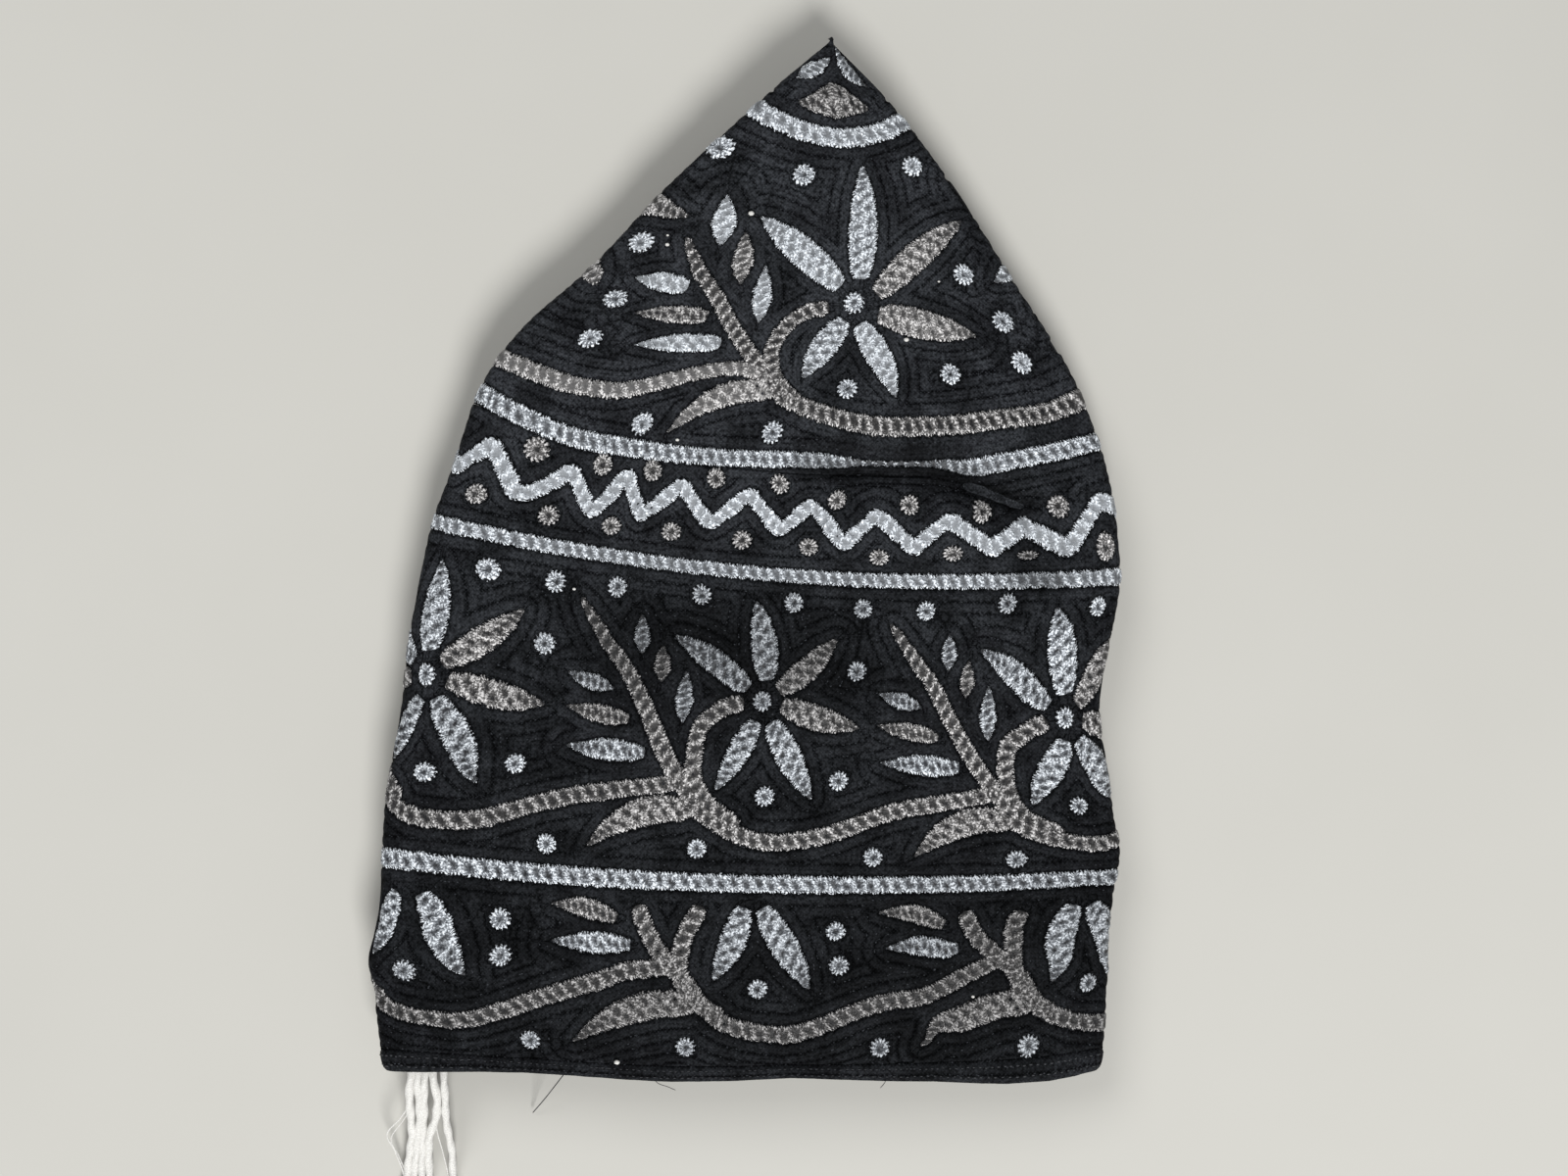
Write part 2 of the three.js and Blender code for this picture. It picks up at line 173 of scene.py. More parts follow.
# The dents and swellings of the front, from the rim's middle.
CREASES = (
    Crease((17.9, 115.2), (41.6, 112.8), -2.2, 2.4),
    Crease((41.6, 112.8), (51.8, 108.6), -2.4, 2.4),
    Crease((51.8, 108.6), (62.9, 113.6), -1.4, 2.2),
    Crease((14.8, 123.5), (46.2, 121), 1.6, 4.6),
    Crease((43.2, 111.9), (52, 108.4), -1.7, 1.1),
    Crease((53, 97.4), (58, 92.5), -1, 2.4),
    Crease((69.6, 84.5), (63, 71.5), -1.3, 1.2),
    Crease((-62, 99), (-51, 96), -0.6, 2.2),
    Crease((-30, 60), (-8, 52), -0.5, 3),
    Crease((20, 60), (44, 66), -0.6, 3.2),
    Crease((-44, 29), (-20, 25), -0.5, 3),
)
# How far the front's side folds bulge from their smooth course: height up the cloth, then left and right.
EDGE_NUDGES = (
    (0, 0, 0), (11, 0, 0), (15, 0.3, 0), (18, -0.6, 0.1), (21, -1.1, -0.3), (25, -0.3, -0.6),
    (30, 0.3, -0.4), (37, 0, -0.1), (43, 0, 0.7), (50, 0.1, 0.1), (57, -0.3, 0.3), (64, -0.6, 0.4),
    (69, -0.8, -0.4), (74, -1, -1.1), (79, -0.8, -0.9), (84, -0.6, -0.4), (91, -0.3, 0.2), (98, 0, 0.4),
    (110, 0.1, 0), (150, 0, 0),
)


@dataclass
class FoldedCap:
    """The cloth folded in four: the front, a gusset tucked in from each side, and the back.

    A spot of the cloth is named by its height up the cloth from the rim and by its turn round the cap: 0 at
    the left front fold, 0.25 at the right one, 0.5 and 0.75 at the back's folds, and 1 at the left front fold
    again.
    """

    wall: float = 1.8
    band_height: float = 116.0
    length: float = 206.8
    origin: Point = (0.46, 82.88)
    gusset_centre: float = 8.0
    gusset_sag: float = 0.9
    back_inset: float = 1.4
    squareness: float = 2.4
    solid_point: float = 14.0
    point_height: float = 4.6
    gusset_share: float = 0.45
    row_count: int = 415
    columns: tuple[int, ...] = (300, 56, 56, 200, 56, 56)
    plan_steps: int = 17
    arc_steps: int = 24
    layer_steps: tuple[int, int, int] = (600, 80, 200)
    quarters: tuple[float, ...] = (0.0, 0.25, 0.375, 0.5, 0.75, 0.875, 1.0)
    turns: Array = field(init=False)
    points: Array = field(init=False)
    normals: Array = field(init=False)
    grounds: Array = field(init=False)

    def __post_init__(self) -> None:
        """Works out the middle of the cloth on a fine net."""
        self.turns = self.spaced(self.columns)
        heights = np.linspace(0, self.length, self.row_count)
        rows = [self._row(height, values) for height, values in zip(heights, self._sections(heights))]
        self.points = np.array([row for row, _ in rows])
        self.grounds = np.array([ground for _, ground in rows])
        self.normals = self._normals()

    def _sections(self, heights: Array) -> Array:
        """The section table run smoothly through, at each height.

        Args:
            heights: Heights up the cloth.

        Returns:
            A row for each height: left, middle and right in plan, then rise, fold and lift.
        """
        table = np.array([[*s.left, *s.middle, *s.right, s.rise, s.fold, s.lift] for s in SECTIONS])
        at = np.array([s.cloth for s in SECTIONS])
        found = hermite(at, table, heights)
        nudges = np.array(EDGE_NUDGES)
        found[:, [0, 4]] += hermite(nudges[:, 0], nudges[:, 1:], heights)
        return found

    def spaced(self, counts: Iterable[int]) -> Array:
        """Turns round the cap with so many columns on each stretch between its folds."""
        stretches = zip(self.quarters, self.quarters[1:], counts)
        return np.concatenate([np.linspace(a, b, n, endpoint=False) for a, b, n in stretches] + [[1.0]])

    def on_front(self, turn: Array) -> Array:
        """Whether each turn is on the front layer."""
        return np.mod(turn, 1.0) <= self.quarters[1]

    def shrink(self, cloth: Array) -> Array:
        """How much of its full size a section has left near the point, from 1 down to 0."""
        return np.clip((self.length - cloth) / self.solid_point, 0.0, 1.0)

    def _row(self, height: float, values: Array) -> tuple[Array, float]:
        """The middle of the cloth round one section.

        Args:
            height: The section's height up the cloth.
            values: Its left, middle and right in plan, then its rise, fold and lift.

        Returns:
            A point for each turn, and the height of the ground under the section.
        """
        left, middle, right = values[0:2], values[2:4], values[4:6]
        rise, fold, lift = values[6:9]
        bend = 2 * middle - (left + right) / 2

        def plan(t: Array) -> Array:
            """The section in plan, by the share of the way across."""
            return (1 - t) ** 2 * left + 2 * t * (1 - t) * bend + t**2 * right

        steps = np.diff(plan(np.linspace(0, 1, self.plan_steps)[:, None]), axis=0)
        half = max(np.linalg.norm(steps, axis=1).sum() / 2, MM)
        small = float(self.shrink(height))
        ground = max(0.0, lift) + self.point_height * (1 - small)
        small = max(small, 0.1 * MM)
        radius = fold * small
        back = self.wall / 2 * small + ground
        low, high, front = (back + 2 * radius * n for n in (1, 2, 3))
        wide = max(half - radius - self.wall / 2 * small, MM)
        wide_back = max(wide - self.back_inset * small, MM)
        inner = min(self.gusset_centre * small, wide_back * self.gusset_share)
        on_front, on_gusset, on_back = self.layer_steps

        def sag(level: float) -> Callable[[Array], Array]:
            """A layer of a gusset, which sags from its side fold to its inner fold."""
            return lambda x: level + self.gusset_sag * small * (1 - np.abs(x) / wide)

        def flat(x: Array) -> Array:
            """The back layer, which is level."""
            return back + 0 * x

        def top(x: Array) -> Array:
            """The front layer, domed and creased."""
            fade = 1 - np.minimum(1, np.abs(x) / wide) ** self.squareness
            return front + fade * small * (rise + crease_height(plan(((x + half) / (2 * half))[:, None])))

        def arc(x: float, z: float, first: float, last: float) -> Array:
            """A turned edge round a centre, from one angle in degrees to another."""
            angle = np.radians(np.linspace(first, last, self.arc_steps))
            return np.stack([x + radius * np.cos(angle), z + radius * np.sin(angle)], 1)

        def run(first: float, last: float, level: Callable[[Array], Array], count: int) -> Array:
            """A layer's points from one side to the other, without its two ends."""
            x = np.linspace(first, last, count + 2)[1:-1]
            return np.stack([x, level(x)], 1)

        upper, lower = sag(high), sag(low)
        turned = (upper(inner) + lower(inner)) / 2
        side, behind = high + radius, back + radius
        parts = (
            (arc(-wide, side, 180, 90), run(-wide, wide, top, on_front), arc(wide, side, 90, 0)),
            (arc(wide, side, 0, -90), run(wide, inner, upper, on_gusset), arc(inner, turned, 90, 180)),
            (
                arc(inner, turned, 180, 270),
                run(inner, wide_back, lower, on_gusset),
                arc(wide_back, behind, 90, 0),
            ),
            (
                arc(wide_back, behind, 0, -90),
                run(wide_back, -wide_back, flat, on_back),
                arc(-wide_back, behind, 270, 180),
            ),
            (
                arc(-wide_back, behind, 180, 90),
                run(-wide_back, -inner, lower, on_gusset),
                arc(-inner, turned, -90, 0),
            ),
            (arc(-inner, turned, 0, 90), run(-inner, -wide, upper, on_gusset), arc(-wide, side, 270, 180)),
        )
        loop = [evenly(np.concatenate(part), count + 1)[:-1] for part, count in zip(parts, self.columns)]
        loop = np.concatenate([*loop, loop[0][:1]])
        share = (loop[:, 0] + half) / (2 * half)
        spots = plan(share[:, None]) - self.origin
        spots[:, 1] += max(0.0, 1 - height / RIM_REACH) * np.interp(share, *np.array(RIM_NUDGES).T)
        return np.column_stack([spots, loop[:, 1]]), ground

    def _normals(self) -> Array:
        """The way outwards from the cloth.

        Returns:
            A direction for each point of the net.
        """
        across = np.empty_like(self.points)
        across[:, 1:-1] = self.points[:, 2:] - self.points[:, :-2]
        across[:, 0] = across[:, -1] = self.points[:, 1] - self.points[:, -2]
        normal = np.cross(across, np.gradient(self.points, axis=0))
        normal /= np.maximum(np.linalg.norm(normal, axis=2, keepdims=True), 1e-12)
        normal[-1] = normal[-2]
        return normal

    def place(self, cloth: Array, turn: Array, out: Array) -> Array:
        """Where spots of the cloth lie, in metres.

        Args:
            cloth: Heights up the cloth.
            turn: Turns round the cap.
            out: Distances outwards from the middle of the cloth.

        Returns:
            A point for each spot.
        """
        row = np.clip(cloth / self.length, 0, 1) * (self.row_count - 1)
        column = np.interp(np.mod(turn, 1.0), self.turns, np.arange(len(self.turns)))
        i = np.minimum(row.astype(int), self.row_count - 2)
        j = np.minimum(column.astype(int), len(self.turns) - 2)
        a, b = (row - i)[:, None], (column - j)[:, None]

        def blend(net: Array) -> Array:
            """The net's values between its points."""
            near, far = ((1 - b) * net[n, j] + b * net[n, j + 1] for n in (i, i + 1))
            return (1 - a) * near + a * far

        spots = blend(self.points) + blend(self.normals) * (out * self.shrink(cloth))[:, None]
        ground = np.interp(cloth, np.linspace(0, self.length, self.row_count), self.grounds)
        spots[:, 2] = np.maximum(spots[:, 2], ground)
        return spots * MM


def hermite(at: Array, values: Array, where: Array) -> Array:
    """A smooth curve through a table.

    Args:
        at: The table's places, rising.
        values: The table's values, a row for each place.
        where: The places wanted.

    Returns:
        A row of values for each place wanted.
    """
    last = len(at) - 1
    low, high = np.r_[0, np.arange(last)], np.r_[np.arange(1, last + 1), last]
    slope = (values[high] - values[low]) / (at[high] - at[low])[:, None]
    i = np.clip(np.searchsorted(at, where) - 1, 0, last - 1)
    span = (at[i + 1] - at[i])[:, None]
    t = (where - at[i])[:, None] / span
    return (
        (2 * t**3 - 3 * t**2 + 1) * values[i]
        + (t**3 - 2 * t**2 + t) * span * slope[i]
        + (3 * t**2 - 2 * t**3) * values[i + 1]
        + (t**3 - t**2) * span * slope[i + 1]
    )


def crease_height(spots: Array) -> Array:
    """How much the creases raise or lower the front at each spot in plan."""
    return sum(crease.near(spots) for crease in CREASES)


def fold_shade(spots: Array) -> Array:
    """How much painted shade the front's folds and shaded patches put on each spot of the row frame, from 0
    to 1.
    """
    return np.max([fold.near(spots) for fold in PAINTED_SHADE_LINES], axis=0)


def lengths(path: Array) -> Array:
    """How far along a path each of its points is."""
    return np.r_[0, np.cumsum(np.linalg.norm(np.diff(path, axis=0), axis=1))]


def evenly(path: Array, count: int) -> Array:
    """A number of points at equal distances along a path."""
    return points_at(path, np.linspace(0, lengths(path)[-1], count))


def points_at(path: Array, where: Array) -> Array:
    """The points of a path at given distances along it."""
    along = lengths(path)
    return np.stack([np.interp(where, along, path[:, axis]) for axis in range(path.shape[1])], 1)


def smooth_path(corners: Iterable[Point], step: float = 0.25) -> Array:
    """A smooth curve through given points.

    Args:
        corners: The points it passes through.
        step: The distance between the points given back.

    Returns:
        Points along the curve.
    """
    corners = np.array(list(corners), float)
    if len(corners) == 2:
        return evenly(corners, 2 + int(lengths(corners)[-1] / step))
    at = lengths(corners)
    return hermite(at, corners, np.linspace(0, at[-1], 2 + int(at[-1] / step)))


@dataclass(frozen=True)
class Motif:
    """One embroidered motif, drawn flat in millimetres. A petal or leaf runs from its base to its tip."""

    thread: Thread
    shape: Shape
    width: float
    path: tuple[Point, ...]


@dataclass(frozen=True)
class Dot:
    """One round eyelet on its own, drawn flat in millimetres."""

    thread: Thread
    centre: Point
    width: float = 3.8
    flatness: float = 1.0


SILVER, TAUPE = Thread.SILVER, Thread.TAUPE
LINE, STEM, PETAL, LEAF = Shape.LINE, Shape.STEM, Shape.PETAL, Shape.LEAF
FROND, BLADE, FAN = Shape.FROND, Shape.BLADE, Shape.FAN

# One repeat of the band: a flower, its stem and the vine that it grows from, from the flower's centre.
BAND_MOTIFS = (
    Motif(SILVER, PETAL, 5.2, ((0.4, 3.8), (-1, 11.2), (-3, 18.4))),
    Motif(TAUPE, PETAL, 4.7, ((2.8, 2), (8.4, 6.8), (13.2, 12.3))),
    Motif(TAUPE, PETAL, 4.8, ((3.7, -0.5), (11.6, -2.7), (19.6, -4))),
    Motif(SILVER, PETAL, 5, ((2.2, -3.7), (6.7, -10.6), (11.5, -17.8))),
    Motif(SILVER, PETAL, 4.5, ((-0.8, -3.7), (-3.4, -10), (-6.6, -16.9))),
    Motif(SILVER, PETAL, 4.6, ((-3, 2.1), (-10.2, 6.8), (-18.2, 10.9))),
    Motif(TAUPE, STEM, 3.2, (
        (-36.9, 15.6), (-31.1, 8.6), (-27, 4.3), (-22.3, -2.5), (-18.1, -9.4), (-14.6, -14.3), (-12, -17.6),
        (-9.3, -20.8), (-4.4, -23.6), (1.5, -25.8), (8.2, -25.8), (15.6, -24.2), (26, -20), (34.1, -18.2),
        (40.9, -16.9), (47, -15.7),
    )),
    Motif(TAUPE, LINE, 3.2, (
        (-3.4, -0.5), (-7.4, -1.8), (-11.2, -5.7), (-11.6, -11.6), (-10.9, -15.4), (-8.2, -19.2),
        (-4.6, -21.6), (-1.6, -23.6),
    )),
    Motif(SILVER, LEAF, 3.1, ((-28.7, 0.3), (-37.9, 2.5))),
    Motif(TAUPE, FROND, 3.3, ((-25, -5.1), (-37.4, -3.3))),
    Motif(SILVER, FROND, 4.1, ((-20.9, -10.9), (-36.3, -10.4))),
    Motif(SILVER, LEAF, 3.3, ((-24.2, 7), (-24.9, 13.9))),
    Motif(TAUPE, LEAF, 3.3, ((-19.9, 2.2), (-20.3, 9))),
    Motif(SILVER, LEAF, 3.7, ((-14.8, -5), (-15.4, 4.6))),
    Motif(TAUPE, BLADE, 5.4, (
        (-10.3, -20.9), (-16.4, -20.9), (-21.8, -22.6), (-25.6, -24.9), (-29.3, -28.4),
    )),
)
BAND_DOTS = tuple(
    Dot(SILVER, centre)
    for centre in (
        (0, 0), (4.3, 18.6), (17.9, 18.2), (-30.1, 18.2), (-13.7, 18.6), (17.8, 6.5), (16.3, -14.2),
        (2.7, -17.6), (-36.9, -28.5), (-8.9, -27.8),
    )
)
# The border under the lower line has the same plants cut short, from the rim right below the flower's centre.
BORDER_MOTIFS = (
    Motif(SILVER, PETAL, 4.6, ((0.2, 34.6), (-2, 26.9), (-5.1, 19.4))),
    Motif(SILVER, PETAL, 5, ((3.6, 34.5), (8, 26.5), (12.6, 18.4))),
    Motif(TAUPE, LINE, 3.2, (
        (-19.6, 34.6), (-16.8, 27.8), (-13.9, 23.6), (-10.9, 20.4), (-7.4, 15.3), (-3.6, 12.3), (0.8, 10.9),
        (4.8, 10.3), (9, 10), (15.3, 11.7), (22.6, 14.4), (34.7, 18), (43.5, 21.8), (49.5, 23.4),
    )),
    Motif(TAUPE, LINE, 3.2, (
        (-7.6, 34.6), (-10.3, 29.6), (-11.5, 24), (-10.9, 19.4), (-7.6, 15.4), (-3.4, 12.9),
    )),
    Motif(TAUPE, BLADE, 5.4, ((-8.2, 15.2), (-14.2, 15.8), (-20.2, 14.6), (-25.6, 12.2), (-31.4, 8.2))),
    Motif(TAUPE, FROND, 3.6, ((-23.3, 31.7), (-29.6, 33), (-35.8, 33.2))),
    Motif(SILVER, FROND, 4.1, ((-20.6, 26.8), (-28, 26.7), (-35.5, 26.7))),
)
BORDER_DOTS = (Dot(SILVER, (17.3, 29.4)), Dot(SILVER, (18, 22.8)), Dot(SILVER, (3, 18.5)))
BORDER_LOW_DOTS = (Dot(SILVER, (-8.2, 7.4)), Dot(SILVER, (24.1, 7.4)))
BORDER_LOW_DOTS_FRONT = ((30.2, 8), (59.3, 7.7), (95.7, 7), (123.4, 5.6))


@dataclass(frozen=True)
class Variation:
    """How a plant on the front differs from the drawn one.

    petals are how much wider its petals are, in order. moves are spots x, y moved by dx, dy, with what is
    near them.
    """

    petals: tuple[float, ...] = ()
    moves: tuple[tuple[float, float, float, float], ...] = ((0.0, 0.0, 0.0, 0.0),)
    reach: float = 4.2

    def apply(self, flat: Array) -> Array:
        """Moves a drawing as this plant has it.

        Args:
            flat: Flat spots of the drawing.

        Returns:
            The spots after the moves near them.
        """
        at = np.array(self.moves)
        away = np.linalg.norm(flat[:, None, :] - at[None, :, :2], axis=2) / self.reach
        near = np.exp(-0.5 * away**2)
        return flat + near / np.maximum(1, near.sum(1, keepdims=True)) @ at[:, 2:]


PLANT_VARIATIONS = {
    -1: Variation((1.12, 0.88, 0.98, 0.9, 0.95, 0.95), (
        (-3, 18.4, 3.2, -0.5), (-1, 11.2, 0.8, 0), (0.4, 3.8, -0.4, -0.6), (4.3, 18.6, 3.2, -1),
        (11.5, -17.8, -1.5, -1.2), (-6.6, -16.9, 1.5, 1), (17.9, 18.2, 0.4, -0.6), (17.8, 6.5, -0.2, 0.6),
        (19.6, -4, -0.7, 0.5), (17.8, -23.5, 0, 1), (0, 0, 0.6, 0),
    )),
    1: Variation((1.1, 1.0, 1.0, 1.1, 1.12, 0.96), (
        (-3, 18.4, -1.7, 0.7), (-1, 11.2, -1.2, -0.6), (0.4, 3.8, -0.7, -0.9), (-13.7, 18.6, -0.2, 1.1),
        (11.5, -17.8, -3, 1), (-6.6, -16.9, -0.7, -1.2), (2.7, -17.6, -2, -0.8), (-8.9, -27.8, -1.9, -1.4),
        (-11.4, -5.7, -0.4, -0.2), (-7, -1.8, 1.2, -2), (1.5, -25.8, 0, -0.6), (-3, 2.1, -0.8, -0.5),
        (8.4, 6.8, -2.4, 0.6), (13.2, 12.3, -5.6, 0.6), (3.7, -0.5, 0.9, -0.6),
    )),
}
BORDER_VARIATIONS = {
    -1: Variation((1.04, 0.85), (
        (0.2, 34.6, -4.3, -1.6), (3.6, 34.5, 3.4, -1.6), (-5.1, 19.4, 1, 2.9), (12.6, 18.4, -2.5, 1.3),
        (8, 26.5, -1.4, 0.2), (3, 18.5, -0.4, 1.1), (17.3, 29.4, -2, 0.4), (18, 22.8, -1.8, 0.7),
        (9, 10, 0, 0.3), (15.3, 11.7, 0, 1.4), (22.6, 14.4, 0, 1.7), (30, 16.5, 0, 2.1), (37, 18.9, 0, 2),
    )),
    0: Variation((1.08, 1.05), (
        (0.2, 34.6, 0, -0.6), (3.6, 34.5, 0, -0.6), (-19.6, 34.6, 0, -0.8), (-7.6, 34.6, 0, -0.6),
        (-5.1, 19.4, 0, 0.8), (34.7, 18, 0.6, -1.3), (43.5, 21.8, 0.4, -1),
    )),
    1: Variation((1.22, 1.1), (
        (0.2, 34.6, -0.4, -1.5), (3.6, 34.5, 0.5, -1.8), (-5.1, 19.4, 1.9, -2.5), (12.6, 18.4, -3.9, -1.7),
        (3, 18.5, 1.3, -2.4), (-7.6, 34.6, -1.2, -2.5), (-11.5, 24, 1.7, 0.1), (-19.6, 34.6, 0.2, -1.9),
        (9, 10, 0, -2), (4.8, 10.3, 0, -1.6), (-9.5, 15.6, 2.2, -2.4), (-20.2, 14.6, 3, -2.6),
        (-31.2, 8.5, 4.8, -1.2), (-20.6, 26.8, 0.6, -1.6), (-35.5, 26.7, 1.8, -0.8),
    )),
}

# One repeat of the crown, on its flat disc with the crown's centre at the origin and this repeat below it.
CROWN_MOTIFS = (
    Motif(SILVER, PETAL, 6.2, ((8.9, -49.7), (7.9, -38), (6.4, -26))),
    Motif(SILVER, PETAL, 6, ((5, -51.5), (-3.9, -44.6), (-12.6, -37.1))),
    Motif(TAUPE, PETAL, 5.9, ((12.8, -52.4), (20.6, -42.6), (28.7, -33.2))),
    Motif(TAUPE, PETAL, 6.4, ((13.8, -56.4), (24.3, -56.9), (34.8, -56.2))),
    Motif(SILVER, PETAL, 5.8, ((10.2, -58.9), (15.6, -65.9), (20.3, -73.6))),
    Motif(SILVER, PETAL, 5.8, ((6.9, -58.4), (3.2, -65.1), (0.1, -72.2))),
    Motif(TAUPE, LINE, 3.2, (
        (3.4, -56.1), (-1.4, -57.2), (-5.6, -61.1), (-7.1, -66.2), (-6.1, -71.6), (-3, -75.2), (0.6, -77.8),
    )),
    Motif(TAUPE, BLADE, 5, ((-4.8, -75.3), (-11, -75.2), (-17, -76.6), (-21.5, -79.2), (-25.4, -82.4))),
    Motif(SILVER, LEAF, 4.6, ((-19.4, -42.3), (-18.4, -31.8))),
    Motif(TAUPE, LEAF, 4.2, ((-15.3, -50.9), (-15, -40))),
    Motif(SILVER, LEAF, 4.2, ((-10.8, -59.5), (-10.8, -47.2))),
    Motif(SILVER, BLADE, 4.3, ((-24.8, -50.4), (-34, -46.2))),
    Motif(TAUPE, BLADE, 4.2, ((-20.7, -57.5), (-34, -54.8))),
    Motif(SILVER, BLADE, 4.6, ((-17.4, -64.1), (-33.6, -62.8))),
)
CROWN_STEM = (
    (-25.3, -39.4), (-23, -46.9), (-19.3, -53.5), (-15.6, -60.5), (-10.5, -68.1), (-7.1, -72.4),
    (-2.6, -76.7),
)
# The crown's vine and dots are set by degrees round the crown and distance from its centre.
CROWN_VINE = (
    (5.6, 79.8), (13.2, 81.5), (22.5, 82), (30, 82), (38, 82.2), (43, 81.5), (46.2, 80.6), (50, 78),
    (60.4, 71.6), (66.4, 72.2),
)
CROWN_VARIATIONS = {
    0: Variation((), (
        (28.8, -43.8, 2, -0.4), (38.5, -51.4, 1.5, 0.3), (16, -24.5, 0.9, 0.2), (-5, -28.9, -0.4, 0.2),
    ), 2.4),
    4: Variation((), (
        (20.6, -42.6, -1.2, 3.4), (28.7, -33.2, -3, -1.2), (34.8, -56.2, -3.9, 4.9), (24.3, -56.9, 0, 4.2),
        (28.8, -43.8, -2.1, 0.4), (38.5, -51.4, -1.1, -1.4), (16, -24.5, -1, -1),
    )),
}
# How many degrees each repeat of the crown is turned on from its even place.
CROWN_LEANS = (0, 5, 3.5, 2, 0)
CROWN_DOTS = (
    (8.7, 55.3), (33.2, 29.3), (-9.8, 29.3), (33.3, 52.4), (36.8, 64.2), (37.5, 73), (24.9, 72.6),
    (7.6, 74.3), (-20.9, 85.6), (-2.6, 83.3),
)
# What is inside the ring at the crown's centre, set the same way. Petals at the front's edges lean inwards.
APEX_FAN = ((-26.4, 15.9), (-15.3, 14.8), (-0.5, 13.7), (14.6, 14.6), (26.4, 15.8))
APEX_PETAL = ((36, 12.4), (36, 2))
APEX_PETALS = {
    0: ((37.6, 12.1), (28.1, 9), (23.4, 5.4), (38.7, 1.4)),
    4: ((34.1, 11.9), (43.4, 8.2), (62.6, 4.6)),
}

# The zigzag's corners across the front and the dots beside it, by distance round the band and height.
ZIGZAG_FRONT = (
    (5.2, 106), (12.3, 111.3), (18.1, 103.9), (25.8, 110.6), (31.6, 103.6), (37.1, 112), (41.5, 104.7),
    (48.7, 111.8), (55.6, 104.7), (62.9, 111.7), (69.9, 104.4), (75.8, 110.3), (83.1, 102.2), (89.4, 108.1),
    (97.1, 101.6), (104.1, 106.4), (112.7, 101.2), (119.5, 104.1), (127.1, 100.3), (134.7, 106.7),
)
ZIGZAG_UPPER_DOTS = (
    (18.8, 112.5), (31.5, 112.7), (42.1, 113.4), (55.5, 113.8), (68.9, 113.9), (81.1, 111), (96.2, 109.7),
    (110.8, 107.2), (126.3, 106.7),
)
ZIGZAG_LOWER_DOTS = (
    (11.9, 102.4), (23.8, 101.5), (36.3, 101.7), (48.4, 102.3), (62.7, 102.1), (76.1, 101.6), (90.2, 100),
    (104.9, 100.6), (119.8, 99.9), (134.9, 100.1),
)
# Where the crown line runs across the front, by distance round the band and height.
CROWN_LINE_FRONT = (
    (5.8, 118.1), (15.3, 116.9), (24.2, 116), (34.7, 116.5), (50.9, 117.4), (71.9, 118.9), (83, 119.3),
    (93.8, 119), (102.4, 118.6), (111.3, 117.4), (120.1, 117.5), (136.5, 118.2),
)
# The share of the crown line's width that the fold over it leaves in sight, by distance round the band.
CROWN_LINE_SHOWN = (
    (70, 1), (78, 0.9), (84, 0.6), (87.5, 0.34), (95, 0.28), (101, 0.32), (104, 0.5), (108, 0.8),
    (112, 1.08), (125, 1.08), (145, 1),
)
# The zigzag's dots that a fold squashes, and what share of their height shows.
ZIGZAG_FLAT_DOTS = {(90.2, 100): 0.74, (104.9, 100.6): 0.66, (119.8, 99.9): 0.34, (76.1, 101.6): 0.88}


@dataclass(frozen=True)
class BandMap:
    """Where the band's pattern falls round the cap, by its distance round the band.

    Near the front's side folds the cloth turns away, so the pattern is spaced by listed marks there.
    """

    repeat: float = 60.4
    repeats: int = 9
    first_flower: float = 69.6
    flower_height: float = 72.2
    start: float = 2.8
    front_end: float = 138.7
    marks: tuple[Point, ...] = (
        (2.8, 0), (9.3, 0.00789), (12.5, 0.01434), (21, 0.0362), (28, 0.05018), (118, 0.21147),
        (129.9, 0.2355), (138.7, 0.25), (274.6, 0.5), (410.5, 0.75), (546.4, 1),
    )

    @property
    def length(self) -> float:
        """The whole way round the band."""
        return self.repeat * self.repeats

    def turn(self, distance: Array) -> Array:
        """The turn round the cap at a distance round the band."""
        at, turns = np.array(self.marks).T
        return np.interp(self.start + np.mod(distance - self.start, self.length), at, turns)

    def distance(self, turn: Array) -> Array:
        """The distance round the band at a turn round the cap."""
        at, turns = np.array(self.marks).T
        return np.interp(np.mod(turn, 1.0), turns, at)

    def spot(self, flat: Array) -> tuple[Array, Array]:
        """The height up the cloth and the turn of a spot of the flat pattern."""
        return flat[:, 1], self.turn(flat[:, 0])


@dataclass(frozen=True)
class CrownMap:
    """Where the crown's flat disc falls on the folded cap."""

    length: float = 206.8
    repeats: int = 5
    middle: float = 0.125

    def flat(self, degrees: Array, radius: Array) -> Array:
        """A spot of the disc from its degrees round the crown and its distance from the centre."""
        angle = np.radians(degrees)
        return np.stack([radius * np.sin(angle), -radius * np.cos(angle)], -1)

    def spot(self, flat: Array) -> tuple[Array, Array]:
        """The height up the cloth and the turn of a spot of the disc."""
        angle = np.arctan2(flat[:, 0], -flat[:, 1])
        return self.length - np.hypot(flat[:, 0], flat[:, 1]), self.middle + angle / math.tau

    def disc(self, cloth: Array, turn: Array) -> Array:
        """The spot of the disc at a height up the cloth and a turn."""
        return self.flat((turn - self.middle) * 360, self.length - cloth)


@dataclass
class Strip:
    """A motif laid out flat: its middle line, the way across it, and half its width all along."""

    middle: Array
    side: Array
    half: Array
    along: Array

    @property
    def outline(self) -> tuple[Array, Array]:
        """Outlines the motif.

        Returns:
            Points round its edge, and the way outwards at each.
        """
        edge = self.side * self.half[:, None]
        points = np.concatenate([self.middle + edge, self.middle - edge])
        return points, np.concatenate([self.side, -self.side])


